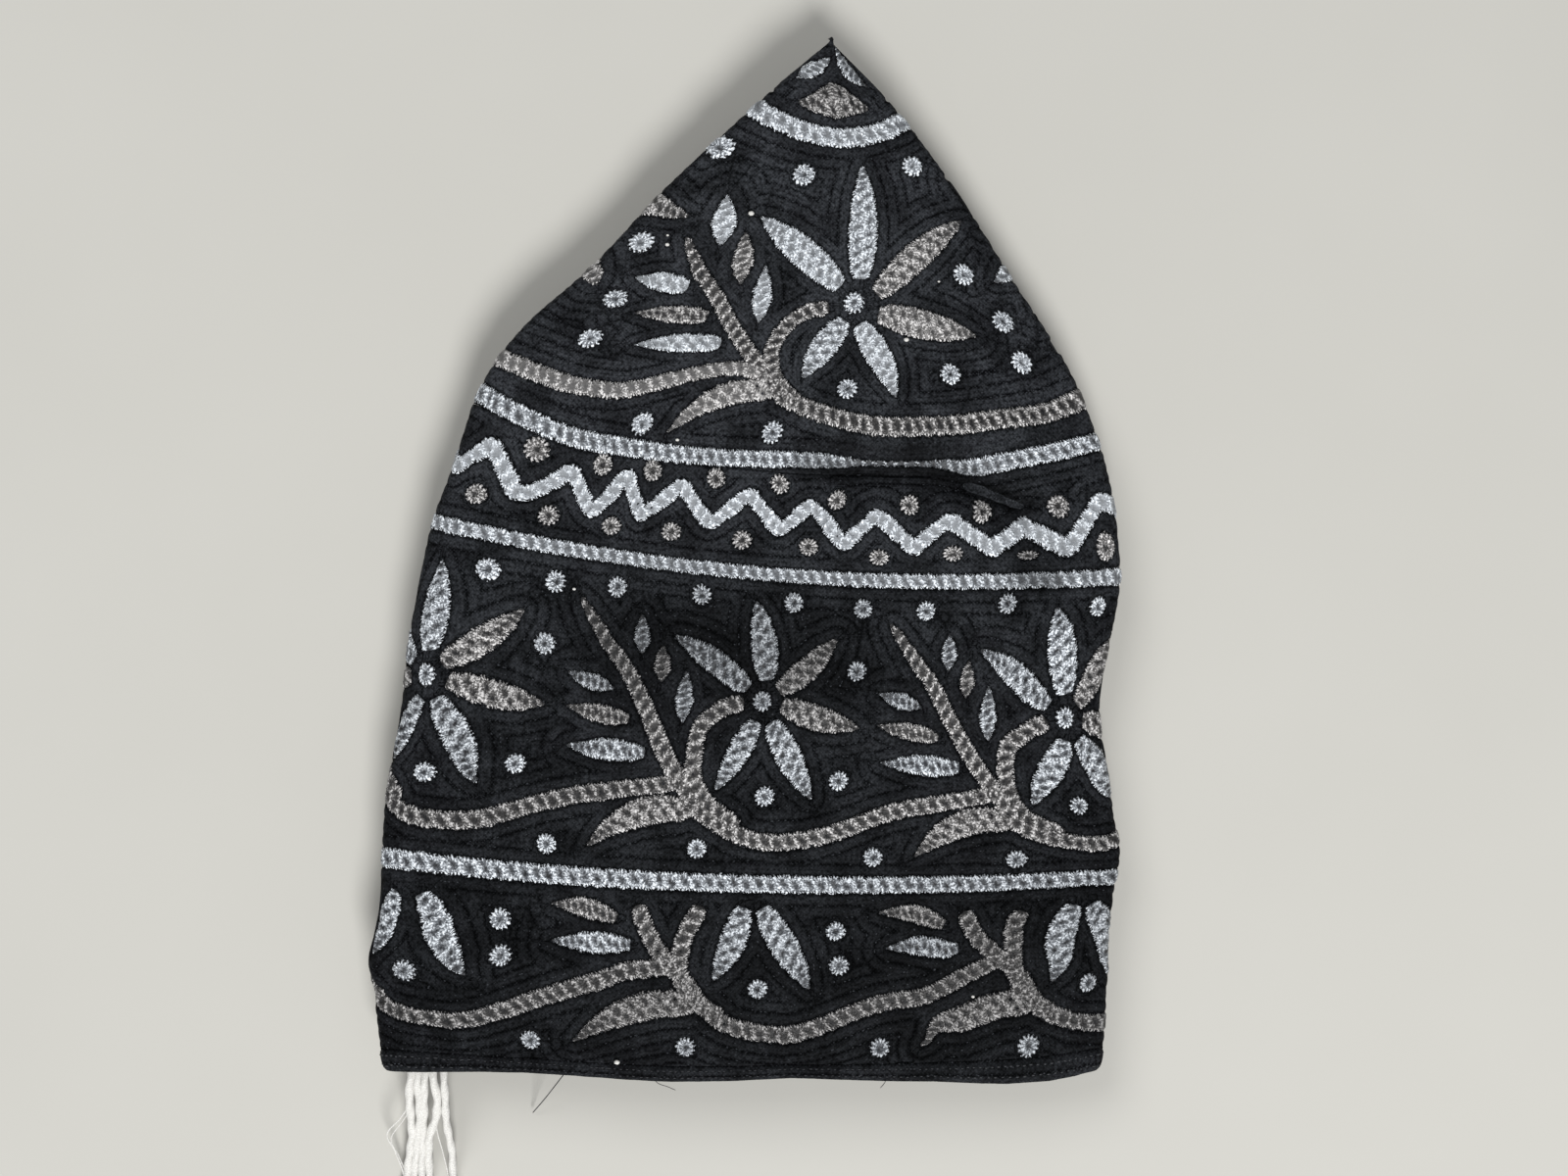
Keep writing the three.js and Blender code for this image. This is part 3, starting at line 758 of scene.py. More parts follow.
# The share of its greatest width that a motif has, by the share of the way from its base to its tip.
PROFILES = {
    PETAL: ((0, 0.42), (0.03, 0.62), (0.12, 0.82), (0.3, 1), (0.5, 1), (0.72, 0.8), (0.9, 0.4), (1, 0.1)),
    LEAF: ((0, 0.12), (0.2, 0.66), (0.4, 1), (0.62, 0.84), (0.85, 0.42), (1, 0.1)),
    FROND: ((0, 0.45), (0.1, 0.74), (0.35, 1), (0.6, 0.9), (0.8, 0.52), (1, 0.08)),
    BLADE: ((0, 0.4), (0.04, 0.68), (0.14, 0.9), (0.4, 1), (0.6, 0.9), (0.8, 0.56), (1, 0.08)),
    FAN: ((0, 0.12), (0.46, 1), (0.54, 1), (1, 0.12)),
}
# The same for a stem, by its distance from the thin end.
STEM_TAPER = ((0, 0.2), (2.5, 0.55), (8, 0.8), (28, 1))
# What each vertex of the embroidery notes: its place along and across its motif, how far off the middle the
# eyelets are there, how light its thread is by random tone and painted sheen, and how far in from its edge.
EYELET_NOTES = ("along", "across", "lane", "tone", "inset")


@dataclass
class Embroidery:
    """Draws motifs flat as low domed strips with rows of eyelets in them."""

    pitch: float = 2.3
    steps_per_eyelet: int = 5
    dome: float = 0.46
    dimple: float = 0.34
    sink: float = 0.42
    quads: int = 6
    end_row: float = 0.16
    last_gap: float = 0.3
    look: float = 0.6
    spare: float = 0.1
    scallop: float = 0.07
    round_end: float = 1.5
    hole: float = 0.62
    lane_from: float = 1.5
    lane_share: float = 0.78
    full_from: float = 1.2
    under: float = 0.9
    ragged: float = 0.2
    ragged_from: float = 0.4
    uneven: float = 0.035
    dot_spokes: int = 26
    dot_width: float = 3.8
    dot_profile: tuple[Point, ...] = ((0, -0.12), (0.42, 0.12), (0.95, 0.5), (1.5, 0.38), (1.95, 0))
    dot_under: float = 1.8
    dot_teeth: Point = (0.9, 1.06)
    dot_teeth_from: Point = (0.8, 1.6)
    dot_ragged: Point = (-0.04, 0.07)
    tones: Point = (0.78, 1.0)
    seed: int = 7
    rng: np.random.Generator = field(init=False)

    def __post_init__(self) -> None:
        """Starts the seeded unevenness of the stitches."""
        self.rng = np.random.default_rng(self.seed)

    def strip(self, path: Array, width: float, shape: Shape) -> Strip:
        """A motif laid out along its path.

        Args:
            path: The motif's middle line.
            width: Its greatest width.
            shape: How its width runs.

        Returns:
            The strip.
        """
        total = lengths(path)[-1]
        step = self.pitch / self.steps_per_eyelet
        steps = np.arange(step, total - self.last_gap, step)
        along = np.r_[0, self.end_row, steps, total - self.end_row, total]
        middle = points_at(path, along)
        before, after = np.maximum(along - self.look, 0), np.minimum(along + self.look, total)
        ahead = points_at(path, after) - points_at(path, before)
        ahead /= np.maximum(np.linalg.norm(ahead, axis=1, keepdims=True), 1e-9)
        side = np.stack([-ahead[:, 1], ahead[:, 0]], 1)
        half = (width / 2 + self.spare) * self.profile(along, total, shape)
        half[1:-1] += self.scallop * np.cos(math.tau * along[1:-1] / self.pitch) * (half[1:-1] > 1)
        half[[0, -1]] = 0
        return Strip(middle, side, half, along)

    def profile(self, along: Array, total: float, shape: Shape) -> Array:
        """How a motif's width runs.

        Args:
            along: Distances along the motif.
            total: Its whole length.
            shape: Its shape.

        Returns:
            The share of its greatest width that it has at each distance.
        """
        if shape in PROFILES:
            return np.interp(along / total, *np.array(PROFILES[shape]).T)
        near = np.minimum(along, total - along) / self.round_end
        ends = np.sqrt(np.clip(1 - np.maximum(0, 1 - near) ** 2, 0.02, 1))
        return np.minimum(ends, np.interp(along, *np.array(STEM_TAPER).T)) if shape is Shape.STEM else ends

    def heights(self, along: Array, across: Array, lane: Array, period: float) -> Array:
        """How far the eyelets' holes dip into a strip.

        Args:
            along: Distances along the strip.
            across: Distances across it from its middle.
            lane: How far off the middle its two rows of eyelets are.
            period: The distance between the eyelets of one row.

        Returns:
            The depth at each spot.
        """
        away = [
            np.hypot(np.mod(along + shift + period / 2, period) - period / 2, across - sign * lane)
            for sign, shift in ((1, 0), (-1, period / 2))
        ]
        return self.dimple * np.exp(-((np.minimum(*away) / self.hole) ** 2))

    def add_strip(self, mesh: bmesh.types.BMesh, strip: Strip, period: float, painted_sheen: float) -> None:
        """Adds a closed domed strip to a flat mesh.

        Args:
            mesh: The mesh, in millimetres of cloth.
            strip: The motif laid out.
            period: The distance between the eyelets of one row.
            painted_sheen: How much lighter its thread is painted, for the sheen of its stitches, than usual.
        """
        rows = len(strip.half)
        share = np.r_[-self.under, np.linspace(-1, 1, self.quads + 1), self.under, -self.under]
        half = np.repeat(strip.half[:, None], len(share), 1)
        jitter = self.rng.uniform(-self.ragged, self.ragged, (rows, 2))
        jitter *= strip.half[:, None] > self.ragged_from
        half[:, : len(share) // 2] += jitter[:, :1]
        half[:, len(share) // 2 :] += jitter[:, 1:]
        half[:, -1] = half[:, 0]
        across = share[None, :] * half
        lane = np.maximum(0, (strip.half - self.lane_from) * self.lane_share)
        lane = np.repeat(lane[:, None], len(share), 1)
        along = np.repeat(strip.along[:, None], len(share), 1)
        full = np.minimum(1, strip.half / self.full_from)[:, None]
        height = self.dome * full * np.sqrt(np.clip(1 - share**2, 0, 1))[None, :]
        height -= full * self.heights(along, across, lane if period < 2 * self.pitch else 0 * lane, period)
        height += self.rng.uniform(-self.uneven, self.uneven, height.shape) * full
        height[:, [0, -2, -1]] = -self.sink
        height[[0, -1]] = 0
        height[:, -1] = height[:, 0]
        spots = strip.middle[:, None, :] + strip.side[:, None, :] * across[:, :, None]
        # A random tone, plus the strip's painted sheen.
        tone = np.full(height.shape, painted_sheen + self.rng.uniform(*self.tones))
        notes = (along, across, lane, tone, np.maximum(0, half - np.abs(across)))
        add_grid(mesh, np.dstack([spots, height]), dict(zip(EYELET_NOTES, notes)))

    def add_dot(self, mesh: bmesh.types.BMesh, dot: Dot, painted_sheen: float) -> None:
        """Adds one round eyelet to a flat mesh.

        Args:
            mesh: The mesh, in millimetres of cloth.
            dot: The eyelet.
            painted_sheen: How much lighter its thread is painted, for the sheen of its stitches, than usual.
        """
        spokes = self.dot_spokes
        rings = (*self.dot_profile, (self.dot_under, -self.sink), (0, -self.sink))
        radius, level = np.array(rings).T
        radius = radius * dot.width / self.dot_width
        angle = np.linspace(0, math.tau, spokes + 1) + self.rng.uniform(0, 1)
        edge = np.tile(self.dot_teeth, spokes // 2 + 1)[: spokes + 1]
        edge = edge + self.rng.uniform(*self.dot_ragged, spokes + 1)
        edge[-1] = edge[0]
        around = np.stack([np.cos(angle), np.sin(angle)], 1)
        outer = np.interp(radius, self.dot_teeth_from, (0.0, 1.0))[:, None, None]
        offset = radius[:, None, None] * around[None, :, :] * (1 + outer * (edge[None, :, None] - 1))
        height = np.repeat(level[:, None], spokes + 1, 1)
        # A random tone, plus the dot's painted sheen.
        tone = np.full(height.shape, painted_sheen + self.rng.uniform(*self.tones))
        inset = np.maximum(0, dot.width / 2 - np.hypot(*np.moveaxis(offset, 2, 0)))
        notes = (offset[:, :, 0], offset[:, :, 1], 0 * height, tone, inset)
        placed = np.array(dot.centre) + offset * (1, dot.flatness)
        add_grid(mesh, np.dstack([placed, height]), dict(zip(EYELET_NOTES, notes)))


@dataclass
class Pattern:
    """The whole embroidery of one panel of the cap, laid out flat, and where its spots are on the cap."""

    spot: Callable[[Array], tuple[Array, Array]]
    strips: dict[str, list[Strip]] = field(default_factory=dict)
    dots: dict[str, list[Dot]] = field(default_factory=dict)


def new_mesh(names: Iterable[str] = ()) -> bmesh.types.BMesh:
    """An empty mesh.

    Args:
        names: The names by which its vertices will note numbers.

    Returns:
        The mesh.
    """
    mesh = bmesh.new()
    for name in names:
        mesh.verts.layers.float.new(name)
    return mesh


def set_verts(
    mesh: bmesh.types.BMesh,
    verts: Iterable[bmesh.types.BMVert],
    places: Array,
    notes: Notes,
) -> None:
    """Moves vertices to their places and notes numbers on them.

    Args:
        mesh: The mesh that they are in.
        verts: The vertices.
        places: A place for each.
        notes: A number for each, by the name that it is noted under.
    """
    layers = [mesh.verts.layers.float[name] for name in notes]
    columns = [places.reshape(-1, 3), *(np.reshape(note, (-1, 1)) for note in notes.values())]
    for vert, (x, y, z, *values) in zip(verts, np.hstack(columns).tolist()):
        vert.co = x, y, z
        for layer, value in zip(layers, values):
            vert[layer] = value


def add_grid(mesh: bmesh.types.BMesh, places: Array, notes: Notes) -> None:
    """Adds a net of faces to a mesh.

    Args:
        mesh: The mesh.
        places: The net's places, row by row.
        notes: A number for each place, by the name that it is noted under.
    """
    rows, columns = places.shape[:2]
    made = bmesh.ops.create_grid(mesh, x_segments=columns - 1, y_segments=rows - 1, size=1)
    set_verts(mesh, made["verts"], places, notes)


def finish_piece(mesh: bmesh.types.BMesh, name: str, material: bpy.types.Material) -> bpy.types.Object:
    """Turns a finished mesh, in metres, into a piece of the scene.

    Args:
        mesh: The mesh, which is freed.
        name: The piece's name.
        material: Its finish.

    Returns:
        The piece.
    """
    bmesh.ops.recalc_face_normals(mesh, faces=mesh.faces)
    data = bpy.data.meshes.new(name)
    mesh.to_mesh(data)
    mesh.free()
    data.polygons.foreach_set("use_smooth", [True] * len(data.polygons))
    data.materials.append(material)
    piece = bpy.data.objects.new(name, data)
    bpy.context.scene.collection.objects.link(piece)
    LOG.info("%s: %d faces", name, len(data.polygons))
    return piece


@dataclass
class Wiring:
    """Adds nodes to a tree and joins them."""

    tree: bpy.types.NodeTree

    def node(self, kind: str, **settings: object) -> bpy.types.Node:
        """A new node.

        Args:
            kind: The node's type.
            settings: Its settings by name.

        Returns:
            The node.
        """
        made = self.tree.nodes.new(kind)
        for name, value in settings.items():
            setattr(made, name, value)
        return made

    def join(self, value: Value, socket: Socket) -> None:
        """Feeds a socket.

        Args:
            value: Another socket, or a number or colour.
            socket: The socket to feed.
        """
        if isinstance(value, bpy.types.NodeSocket):
            self.tree.links.new(value, socket)
        else:
            socket.default_value = value

    def fill(self, made: bpy.types.Node, values: dict[int | str, Value]) -> bpy.types.Node:
        """Feeds a node's inputs.

        Args:
            made: The node.
            values: What feeds each input, by its number or name.

        Returns:
            The node.
        """
        for key, value in values.items():
            self.join(value, made.inputs[key])
        return made

    def math(self, operation: str, *values: Value) -> Socket:
        """The result of a sum on one to three values."""
        return self.fill(self.node("ShaderNodeMath", operation=operation), dict(enumerate(values))).outputs[0]

    def times(self, first: Value, second: Value) -> Socket:
        """One value times another."""
        return self.math("MULTIPLY", first, second)

    def scaled(self, value: Value, share: Value, more: Value) -> Socket:
        """A value times a share, and more added."""
        return self.math("MULTIPLY_ADD", value, share, more)

    def ramp(self, *values: Value) -> Socket:
        """A smooth step: the value, where it starts and ends, and its results there if not 0 and 1."""
        made = self.node("ShaderNodeMapRange", interpolation_type="SMOOTHSTEP")
        return self.fill(made, dict(enumerate(values))).outputs[0]

    def mix(self, share: Value, first: Value, second: Value, blend: str = "MIX") -> Socket:
        """A colour between two others, or one blended over another."""
        made = self.node("ShaderNodeMix", data_type="RGBA", blend_type=blend)
        return self.fill(made, {0: share, 6: first, 7: second}).outputs[2]

    def tint(self, colour: Value, share: Value) -> Socket:
        """A colour made lighter or darker."""
        return self.mix(1.0, colour, share, "MULTIPLY")

    def attribute(self, name: str) -> Socket:
        """A number that the mesh carries on its vertices."""
        return self.node("ShaderNodeAttribute", attribute_name=name).outputs["Fac"]

    def place(self) -> Socket:
        """The place on the object, in millimetres."""
        values = {"Scale": 1 / MM, 0: self.node("ShaderNodeTexCoord").outputs["Object"]}
        return self.fill(self.node("ShaderNodeVectorMath", operation="SCALE"), values).outputs[0]

    def axes(self, place: Socket) -> bpy.types.NodeOutputs:
        """The three coordinates of a place."""
        return self.fill(self.node("ShaderNodeSeparateXYZ"), {0: place}).outputs

    def noise(self, place: Value, size: float, detail: float = 2.0) -> Socket:
        """Soft unevenness with spots of a size in millimetres, about 0.5."""
        made = self.node("ShaderNodeTexNoise")
        return self.fill(made, {"Vector": place, "Scale": 1 / size, "Detail": detail}).outputs[0]

    def bump(self, height: Value, depth: float, normal: Socket | None = None) -> Socket:
        """A bent normal.

        Args:
            height: The relief, from 0 to 1.
            depth: What a height of 1 stands for, in millimetres.
            normal: The normal to bend, if not the surface's own.

        Returns:
            The normal.
        """
        values = {"Strength": 1.0, "Distance": depth * MM, "Height": height}
        if normal is not None:
            values["Normal"] = normal
        return self.fill(self.node("ShaderNodeBump"), values).outputs[0]

    def group(self, tree: bpy.types.NodeTree, **values: Value) -> bpy.types.NodeOutputs:
        """The outputs of a shared group with its inputs set."""
        return self.fill(self.node("ShaderNodeGroup", node_tree=tree), values).outputs

    def painted_light(self, colour: Value, painted_light_ramp: tuple[float, ...], depth: float) -> Socket:
        """A colour with painted light and shade on it.

        Args:
            colour: The colour.
            painted_light_ramp: Two places up the cap, and how light the colour is painted at each, as light
                falls on it.
            depth: How much of it the painted shade of the front's deepest folds takes away.

        Returns:
            The colour with painted light and shade up the cap, and painted shade in the folds.
        """
        # Painted light and shade up the cap, then painted shade in the front's folds.
        colour = self.tint(colour, self.ramp(self.axes(self.place())[1], *painted_light_ramp))
        return self.tint(colour, self.scaled(self.attribute("shade"), -depth, 1.0))


Group = tuple[Wiring, dict[str, Socket], bpy.types.NodeInputs]


def new_group(name: str, inputs: dict[str, float], outputs: Iterable[str]) -> Group:
    """A shared group of nodes.

    Args:
        name: The group's name.
        inputs: Its inputs and their values.
        outputs: The names of what it puts out.

    Returns:
        The group's wiring, its inputs by name, and the sockets that its results go into.
    """
    tree = bpy.data.node_groups.new(name, "ShaderNodeTree")
    for label, value in inputs.items():
        tree.interface.new_socket(label, in_out="INPUT", socket_type="NodeSocketFloat").default_value = value
    for label in outputs:
        tree.interface.new_socket(label, in_out="OUTPUT", socket_type="NodeSocketFloat")
    wiring = Wiring(tree)
    entry = wiring.node("NodeGroupInput")
    return wiring, {label: entry.outputs[label] for label in inputs}, wiring.node("NodeGroupOutput").inputs


def new_material(name: str) -> tuple[bpy.types.Material, Wiring, bpy.types.NodeInputs]:
    """A new material.

    Args:
        name: The material's name.

    Returns:
        The material, its wiring, and its shader's inputs.
    """
    material = bpy.data.materials.new(name)
    material.use_nodes = True
    return material, Wiring(material.node_tree), material.node_tree.nodes["Principled BSDF"].inputs


def eyelet_group() -> bpy.types.NodeTree:
    """The look of round eyelets: strands that run out from each hole, ring beside ring, to a ragged edge.

    Returns:
        The group, whose outputs are masks and a height.
    """
    inputs = {
        "Along": 0.0, "Across": 0.0, "Lane": 0.0, "Inset": 1.0, "Period": 4.6, "Hole": 0.55, "Strands": 13.0,
        "Lean": 0.4, "Squash": 0.6,
    }
    wiring, given, result = new_group("Eyelets", inputs, ("Strand", "Open", "Pit", "Bar", "Edge", "Height"))
    place = wiring.place()
    along = wiring.math("ADD", given["Along"], wiring.scaled(wiring.noise(place, 1.6), 0.9, -0.45))
    across = wiring.math("ADD", given["Across"], wiring.scaled(wiring.noise(place, 1.8), 0.7, -0.35))
    half = wiring.times(given["Period"], 0.5)
    found = []
    for sign, shift in ((1.0, 0.0), (-1.0, 1.0)):
        off = wiring.scaled(given["Lane"], -sign, across)
        moved = wiring.scaled(half, shift, wiring.scaled(off, given["Lean"], along))
        x = wiring.math("WRAP", moved, half, wiring.times(half, -1.0))
        y = wiring.times(off, given["Squash"])
        away = wiring.math("SQRT", wiring.scaled(x, x, wiring.times(y, y)))
        found.append((x, y, away))
    second = wiring.math("LESS_THAN", found[1][2], found[0][2])
    x, y, away = (
        wiring.scaled(second, wiring.math("SUBTRACT", other, first), first) for first, other in zip(*found)
    )
    fine = wiring.noise(place, 0.45, 2.0)
    spokes = wiring.times(wiring.math("ARCTAN2", y, x), given["Strands"])
    strand = wiring.ramp(wiring.math("COSINE", wiring.scaled(fine, 8.0, spokes)), -0.8, 0.7)
    ragged = wiring.math("ADD", away, wiring.scaled(fine, 0.9, -0.45))
    opened = wiring.ramp(wiring.math("SUBTRACT", ragged, given["Hole"]), -0.3, 0.3)
    pit = wiring.ramp(wiring.math("DIVIDE", ragged, given["Hole"]), 0.15, 0.7, 1.0, 0.0)
    between = wiring.math("ABSOLUTE", wiring.math("SUBTRACT", found[0][2], found[1][2]))
    rim = wiring.ramp(given["Inset"], 0.3, 0.75, 1.0, 0.0)
    bar = wiring.math("MAXIMUM", wiring.ramp(between, 0.1, 0.7, 1.0, 0.0), rim)
    some = wiring.ramp(wiring.noise(place, 2.6, 1.0), 0.38, 0.6, 0.4, 1.0)
    teeth = wiring.scaled(strand, -0.45, wiring.scaled(fine, -0.5, 0.68))
    edge = wiring.ramp(wiring.math("SUBTRACT", given["Inset"], teeth), -0.06, 0.1)
    raised = wiring.times(opened, wiring.scaled(strand, 0.35, wiring.scaled(bar, 0.35, 0.3)))
    results = (strand, opened, wiring.times(pit, some), bar, edge, wiring.times(raised, edge))
    for value, socket in zip(results, result):
        wiring.join(value, socket)
    return wiring.tree


def weave_group() -> bpy.types.NodeTree:
    """Fine cotton: threads crossing at right angles, with fluff on them.

    Returns:
        The group, whose outputs are a mask and a height.
    """
    wiring, given, result = new_group("Weave", {"Pitch": 0.34}, ("Cover", "Height"))
    place = wiring.place()
    turns = wiring.math("DIVIDE", math.pi, given["Pitch"])
    waves = [wiring.math("SINE", wiring.times(axis, turns)) for axis in list(wiring.axes(place))[:2]]
    crossing = wiring.times(*waves)
    fluff = wiring.noise(place, 0.35, 4.0)
    wiring.join(wiring.scaled(crossing, 0.25, fluff), result["Cover"])
    wiring.join(wiring.scaled(crossing, 0.3, fluff), result["Height"])
    return wiring.tree


def quilt_group() -> bpy.types.NodeTree:
    """Quilting: rows of cloth that follow the embroidery, with finer ridges and small stitches on them.

    Returns:
        The group, whose outputs are a height and a mask.
    """
    sizes = {"Distance": 0.0, "Pitch": 1.1, "Row": 2.2, "Fine": 0.45}
    wiring, given, result = new_group("Quilting", sizes, ("Ridge", "Stitch"))
    place = wiring.place()
    sway = wiring.scaled(wiring.noise(place, 2.0), 0.5, -0.25)
    distance = wiring.math("ADD", given["Distance"], sway)
    turns = [wiring.math("DIVIDE", distance, given[size]) for size in ("Pitch", "Row")]
    wave, row = (wiring.math("ABSOLUTE", wiring.math("SINE", wiring.times(turn, math.pi))) for turn in turns)
    fine = wiring.scaled(wiring.math("SUBTRACT", wiring.math("POWER", wave, 0.6), 1.0), given["Fine"], 1.0)
    cells = wiring.node("ShaderNodeTexVoronoi", feature="F1")
    wiring.fill(cells, {"Vector": place, "Scale": 1 / 0.8})
    dot = wiring.ramp(cells.outputs["Distance"], 0.16, 0.34, 1.0, 0.0)
    wiring.join(wiring.times(fine, wiring.math("POWER", row, 0.9)), result["Ridge"])
    wiring.join(wiring.times(dot, wiring.ramp(wave, 0.15, 0.42, 1.0, 0.0)), result["Stitch"])
    return wiring.tree


@dataclass
class SharedGroups:
    """The node groups that more than one finish uses."""

    eyelets: bpy.types.NodeTree
    weave: bpy.types.NodeTree
    quilting: bpy.types.NodeTree


@dataclass(frozen=True)
class ClothFinish:
    """Black cotton, quilted in rows."""

    name: str
    ridge: tuple[float, ...] = (0.0154, 0.0167, 0.019, 1)
    # The valley colour is painted shade in the quilting's valleys; the grain's darker specks take it too.
    valley: tuple[float, ...] = (0.0004, 0.0005, 0.0007, 1)
    stitch: tuple[float, ...] = (0.0358, 0.0385, 0.0435, 1)
    depth: float = 0.17
    weave_depth: float = 0.05
    stitch_depth: float = 0.12
    grain_size: float = 0.55
    # Lighter and darker blotches over the cloth: their size in millimetres, and the shares of the colour at
    # their darkest and lightest.
    blotch_size: float = 7.0
    fade: Point = (0.62, 1.3)
    # Painted light and shade up the cap: two heights in millimetres and the share of the colour at each,
    # darker at the rim and lighter on the crown; then how much of the colour the painted shade of the deepest
    # folds takes away.
    painted_light: tuple[float, ...] = (-80.0, 75.0, 0.62, 1.5)
    painted_fold_shade: float = 0.95
    sheen: float = 0.004
    shine: float = 0.03

    def build(self, groups: SharedGroups) -> bpy.types.Material:
        """Makes the material.

        Args:
            groups: The shared groups.

        Returns:
            The material.
        """
        material, wiring, shader = new_material(self.name)
        quilt = wiring.group(groups.quilting, Distance=wiring.attribute("quilt"))
        weave = wiring.group(groups.weave)
        # The quilting's ridges keep the cloth's colour and its valleys get painted shade.
        cloth = wiring.mix(quilt["Ridge"], self.valley, self.ridge)
        cloth = wiring.mix(wiring.ramp(weave["Cover"], 0.5, 0.95, 0.0, 0.55), cloth, self.stitch)
        grain = wiring.noise(wiring.place(), self.grain_size, 3.0)
        cloth = wiring.mix(wiring.ramp(grain, 0.52, 0.74, 0.0, 0.5), cloth, self.stitch)
        cloth = wiring.mix(wiring.ramp(grain, 0.34, 0.52, 0.7, 0.0), cloth, self.valley)
        # Lighter and darker blotches about 7 mm across.
        blotches = wiring.noise(wiring.place(), self.blotch_size)
        cloth = wiring.tint(cloth, wiring.ramp(blotches, 0.36, 0.64, *self.fade))
        # Painted light and shade up the cap, and painted shade in the front's folds.
        cloth = wiring.painted_light(cloth, self.painted_light, self.painted_fold_shade)
        wiring.join(wiring.mix(quilt["Stitch"], cloth, self.stitch), shader["Base Color"])
        wiring.join(wiring.ramp(quilt["Ridge"], 0.0, 1.0, 0.85, 0.62), shader["Roughness"])
        shader["Sheen Weight"].default_value = self.sheen
        shader["Sheen Roughness"].default_value = 0.4
        shader["Specular IOR Level"].default_value = self.shine
        coarse = wiring.bump(quilt["Ridge"], self.depth)
        fine = wiring.bump(weave["Height"], self.weave_depth, coarse)
        wiring.join(wiring.bump(quilt["Stitch"], self.stitch_depth, fine), shader["Normal"])
        return material


@dataclass(frozen=True)
class ThreadFinish:
    """Embroidery thread in round eyelets, over the black cloth."""

    name: str
    strand: tuple[float, ...]
    shade: tuple[float, ...]
    hollow: tuple[float, ...]
    period: float = 4.6
    hole: float = 0.74
    strands: float = 13.0
    lean: float = 0.4
    squash: float = 0.62
    bar: float = 0.28
    streak: float = 0.95
    glint: float = 0.13
    gain: float = 1.25
    contrast: float = 1.2
    # Painted shade towards the rim: two heights in millimetres and the share of the colour at each; then how
    # much of the colour the painted shade of the deepest folds takes away.
    painted_light: tuple[float, ...] = (-72.0, -46.0, 0.76, 1.0)
    painted_fold_shade: float = 0.8
    roughness: float = 0.5
    shine: float = 0.3
    depth: float = 0.34
    strand_depth: float = 0.16
    cloth: tuple[float, ...] = (0.004, 0.0042, 0.0055, 1)

    def build(self, groups: SharedGroups) -> bpy.types.Material:
        """Makes the material.

        Args:
            groups: The shared groups.

        Returns:
            The material.
        """
        material, wiring, shader = new_material(self.name)
        noted = {name.capitalize(): wiring.attribute(name) for name in ("along", "across", "lane", "inset")}
        names = ("period", "hole", "strands", "lean", "squash")
        looks = {name.capitalize(): getattr(self, name) for name in names}
        eyelets = wiring.group(groups.eyelets, **noted, **looks)
        uneven = wiring.noise(wiring.place(), 0.42, 3.0)
        speck = wiring.ramp(uneven, 0.36, 0.64)
        streak = wiring.times(speck, wiring.scaled(eyelets["Strand"], 0.7, 0.3))
        bar = wiring.times(eyelets["Bar"], wiring.scaled(speck, 0.75, 0.25))
        light = wiring.scaled(bar, self.bar, wiring.times(streak, self.streak))
        light = wiring.math("POWER", wiring.times(light, self.gain), self.contrast)
        thread = wiring.mix(light, self.shade, self.strand)
        hollow = wiring.mix(wiring.times(streak, self.glint), self.hollow, self.strand)
        colour = wiring.mix(eyelets["Open"], hollow, thread)
        colour = wiring.mix(eyelets["Pit"], colour, self.cloth)
        # Above 1 this is painted sheen, which mixes the colour towards the strand's lightest; below 1 it is
        # the motif's random tone.
        tone = wiring.attribute("tone")
        colour = wiring.mix(wiring.math("SUBTRACT", tone, 1.0), colour, self.strand)
        colour = wiring.tint(colour, wiring.math("MINIMUM", tone, 1.0))
        # Painted shade towards the rim, and painted shade in the front's folds.
        colour = wiring.painted_light(colour, self.painted_light, self.painted_fold_shade)
        wiring.join(wiring.mix(eyelets["Edge"], self.cloth, colour), shader["Base Color"])
        shader["Roughness"].default_value = self.roughness
        shader["Specular IOR Level"].default_value = self.shine
        coarse = wiring.bump(eyelets["Height"], self.depth)
        wiring.join(wiring.bump(uneven, self.strand_depth, coarse), shader["Normal"])
        return material


@dataclass(frozen=True)
class YarnFinish:
    """Loose twisted cotton yarn."""

    name: str
    light: tuple[float, ...] = (0.7, 0.69, 0.66, 1)
    dark: tuple[float, ...] = (0.46, 0.45, 0.42, 1)
    fibre_size: float = 0.22
    roughness: float = 0.75
    sheen: float = 0.2
    depth: float = 0.06

    def build(self) -> bpy.types.Material:
        """Makes the material.

        Returns:
            The material, with fine fibres along the yarn.
        """
        material, wiring, shader = new_material(self.name)
        fibre = wiring.noise(wiring.place(), self.fibre_size, 3.0)
        wiring.join(wiring.mix(wiring.ramp(fibre, 0.3, 0.7), self.dark, self.light), shader["Base Color"])
        shader["Roughness"].default_value = self.roughness
        shader["Sheen Weight"].default_value = self.sheen
        wiring.join(wiring.bump(fibre, self.depth), shader["Normal"])
        return material


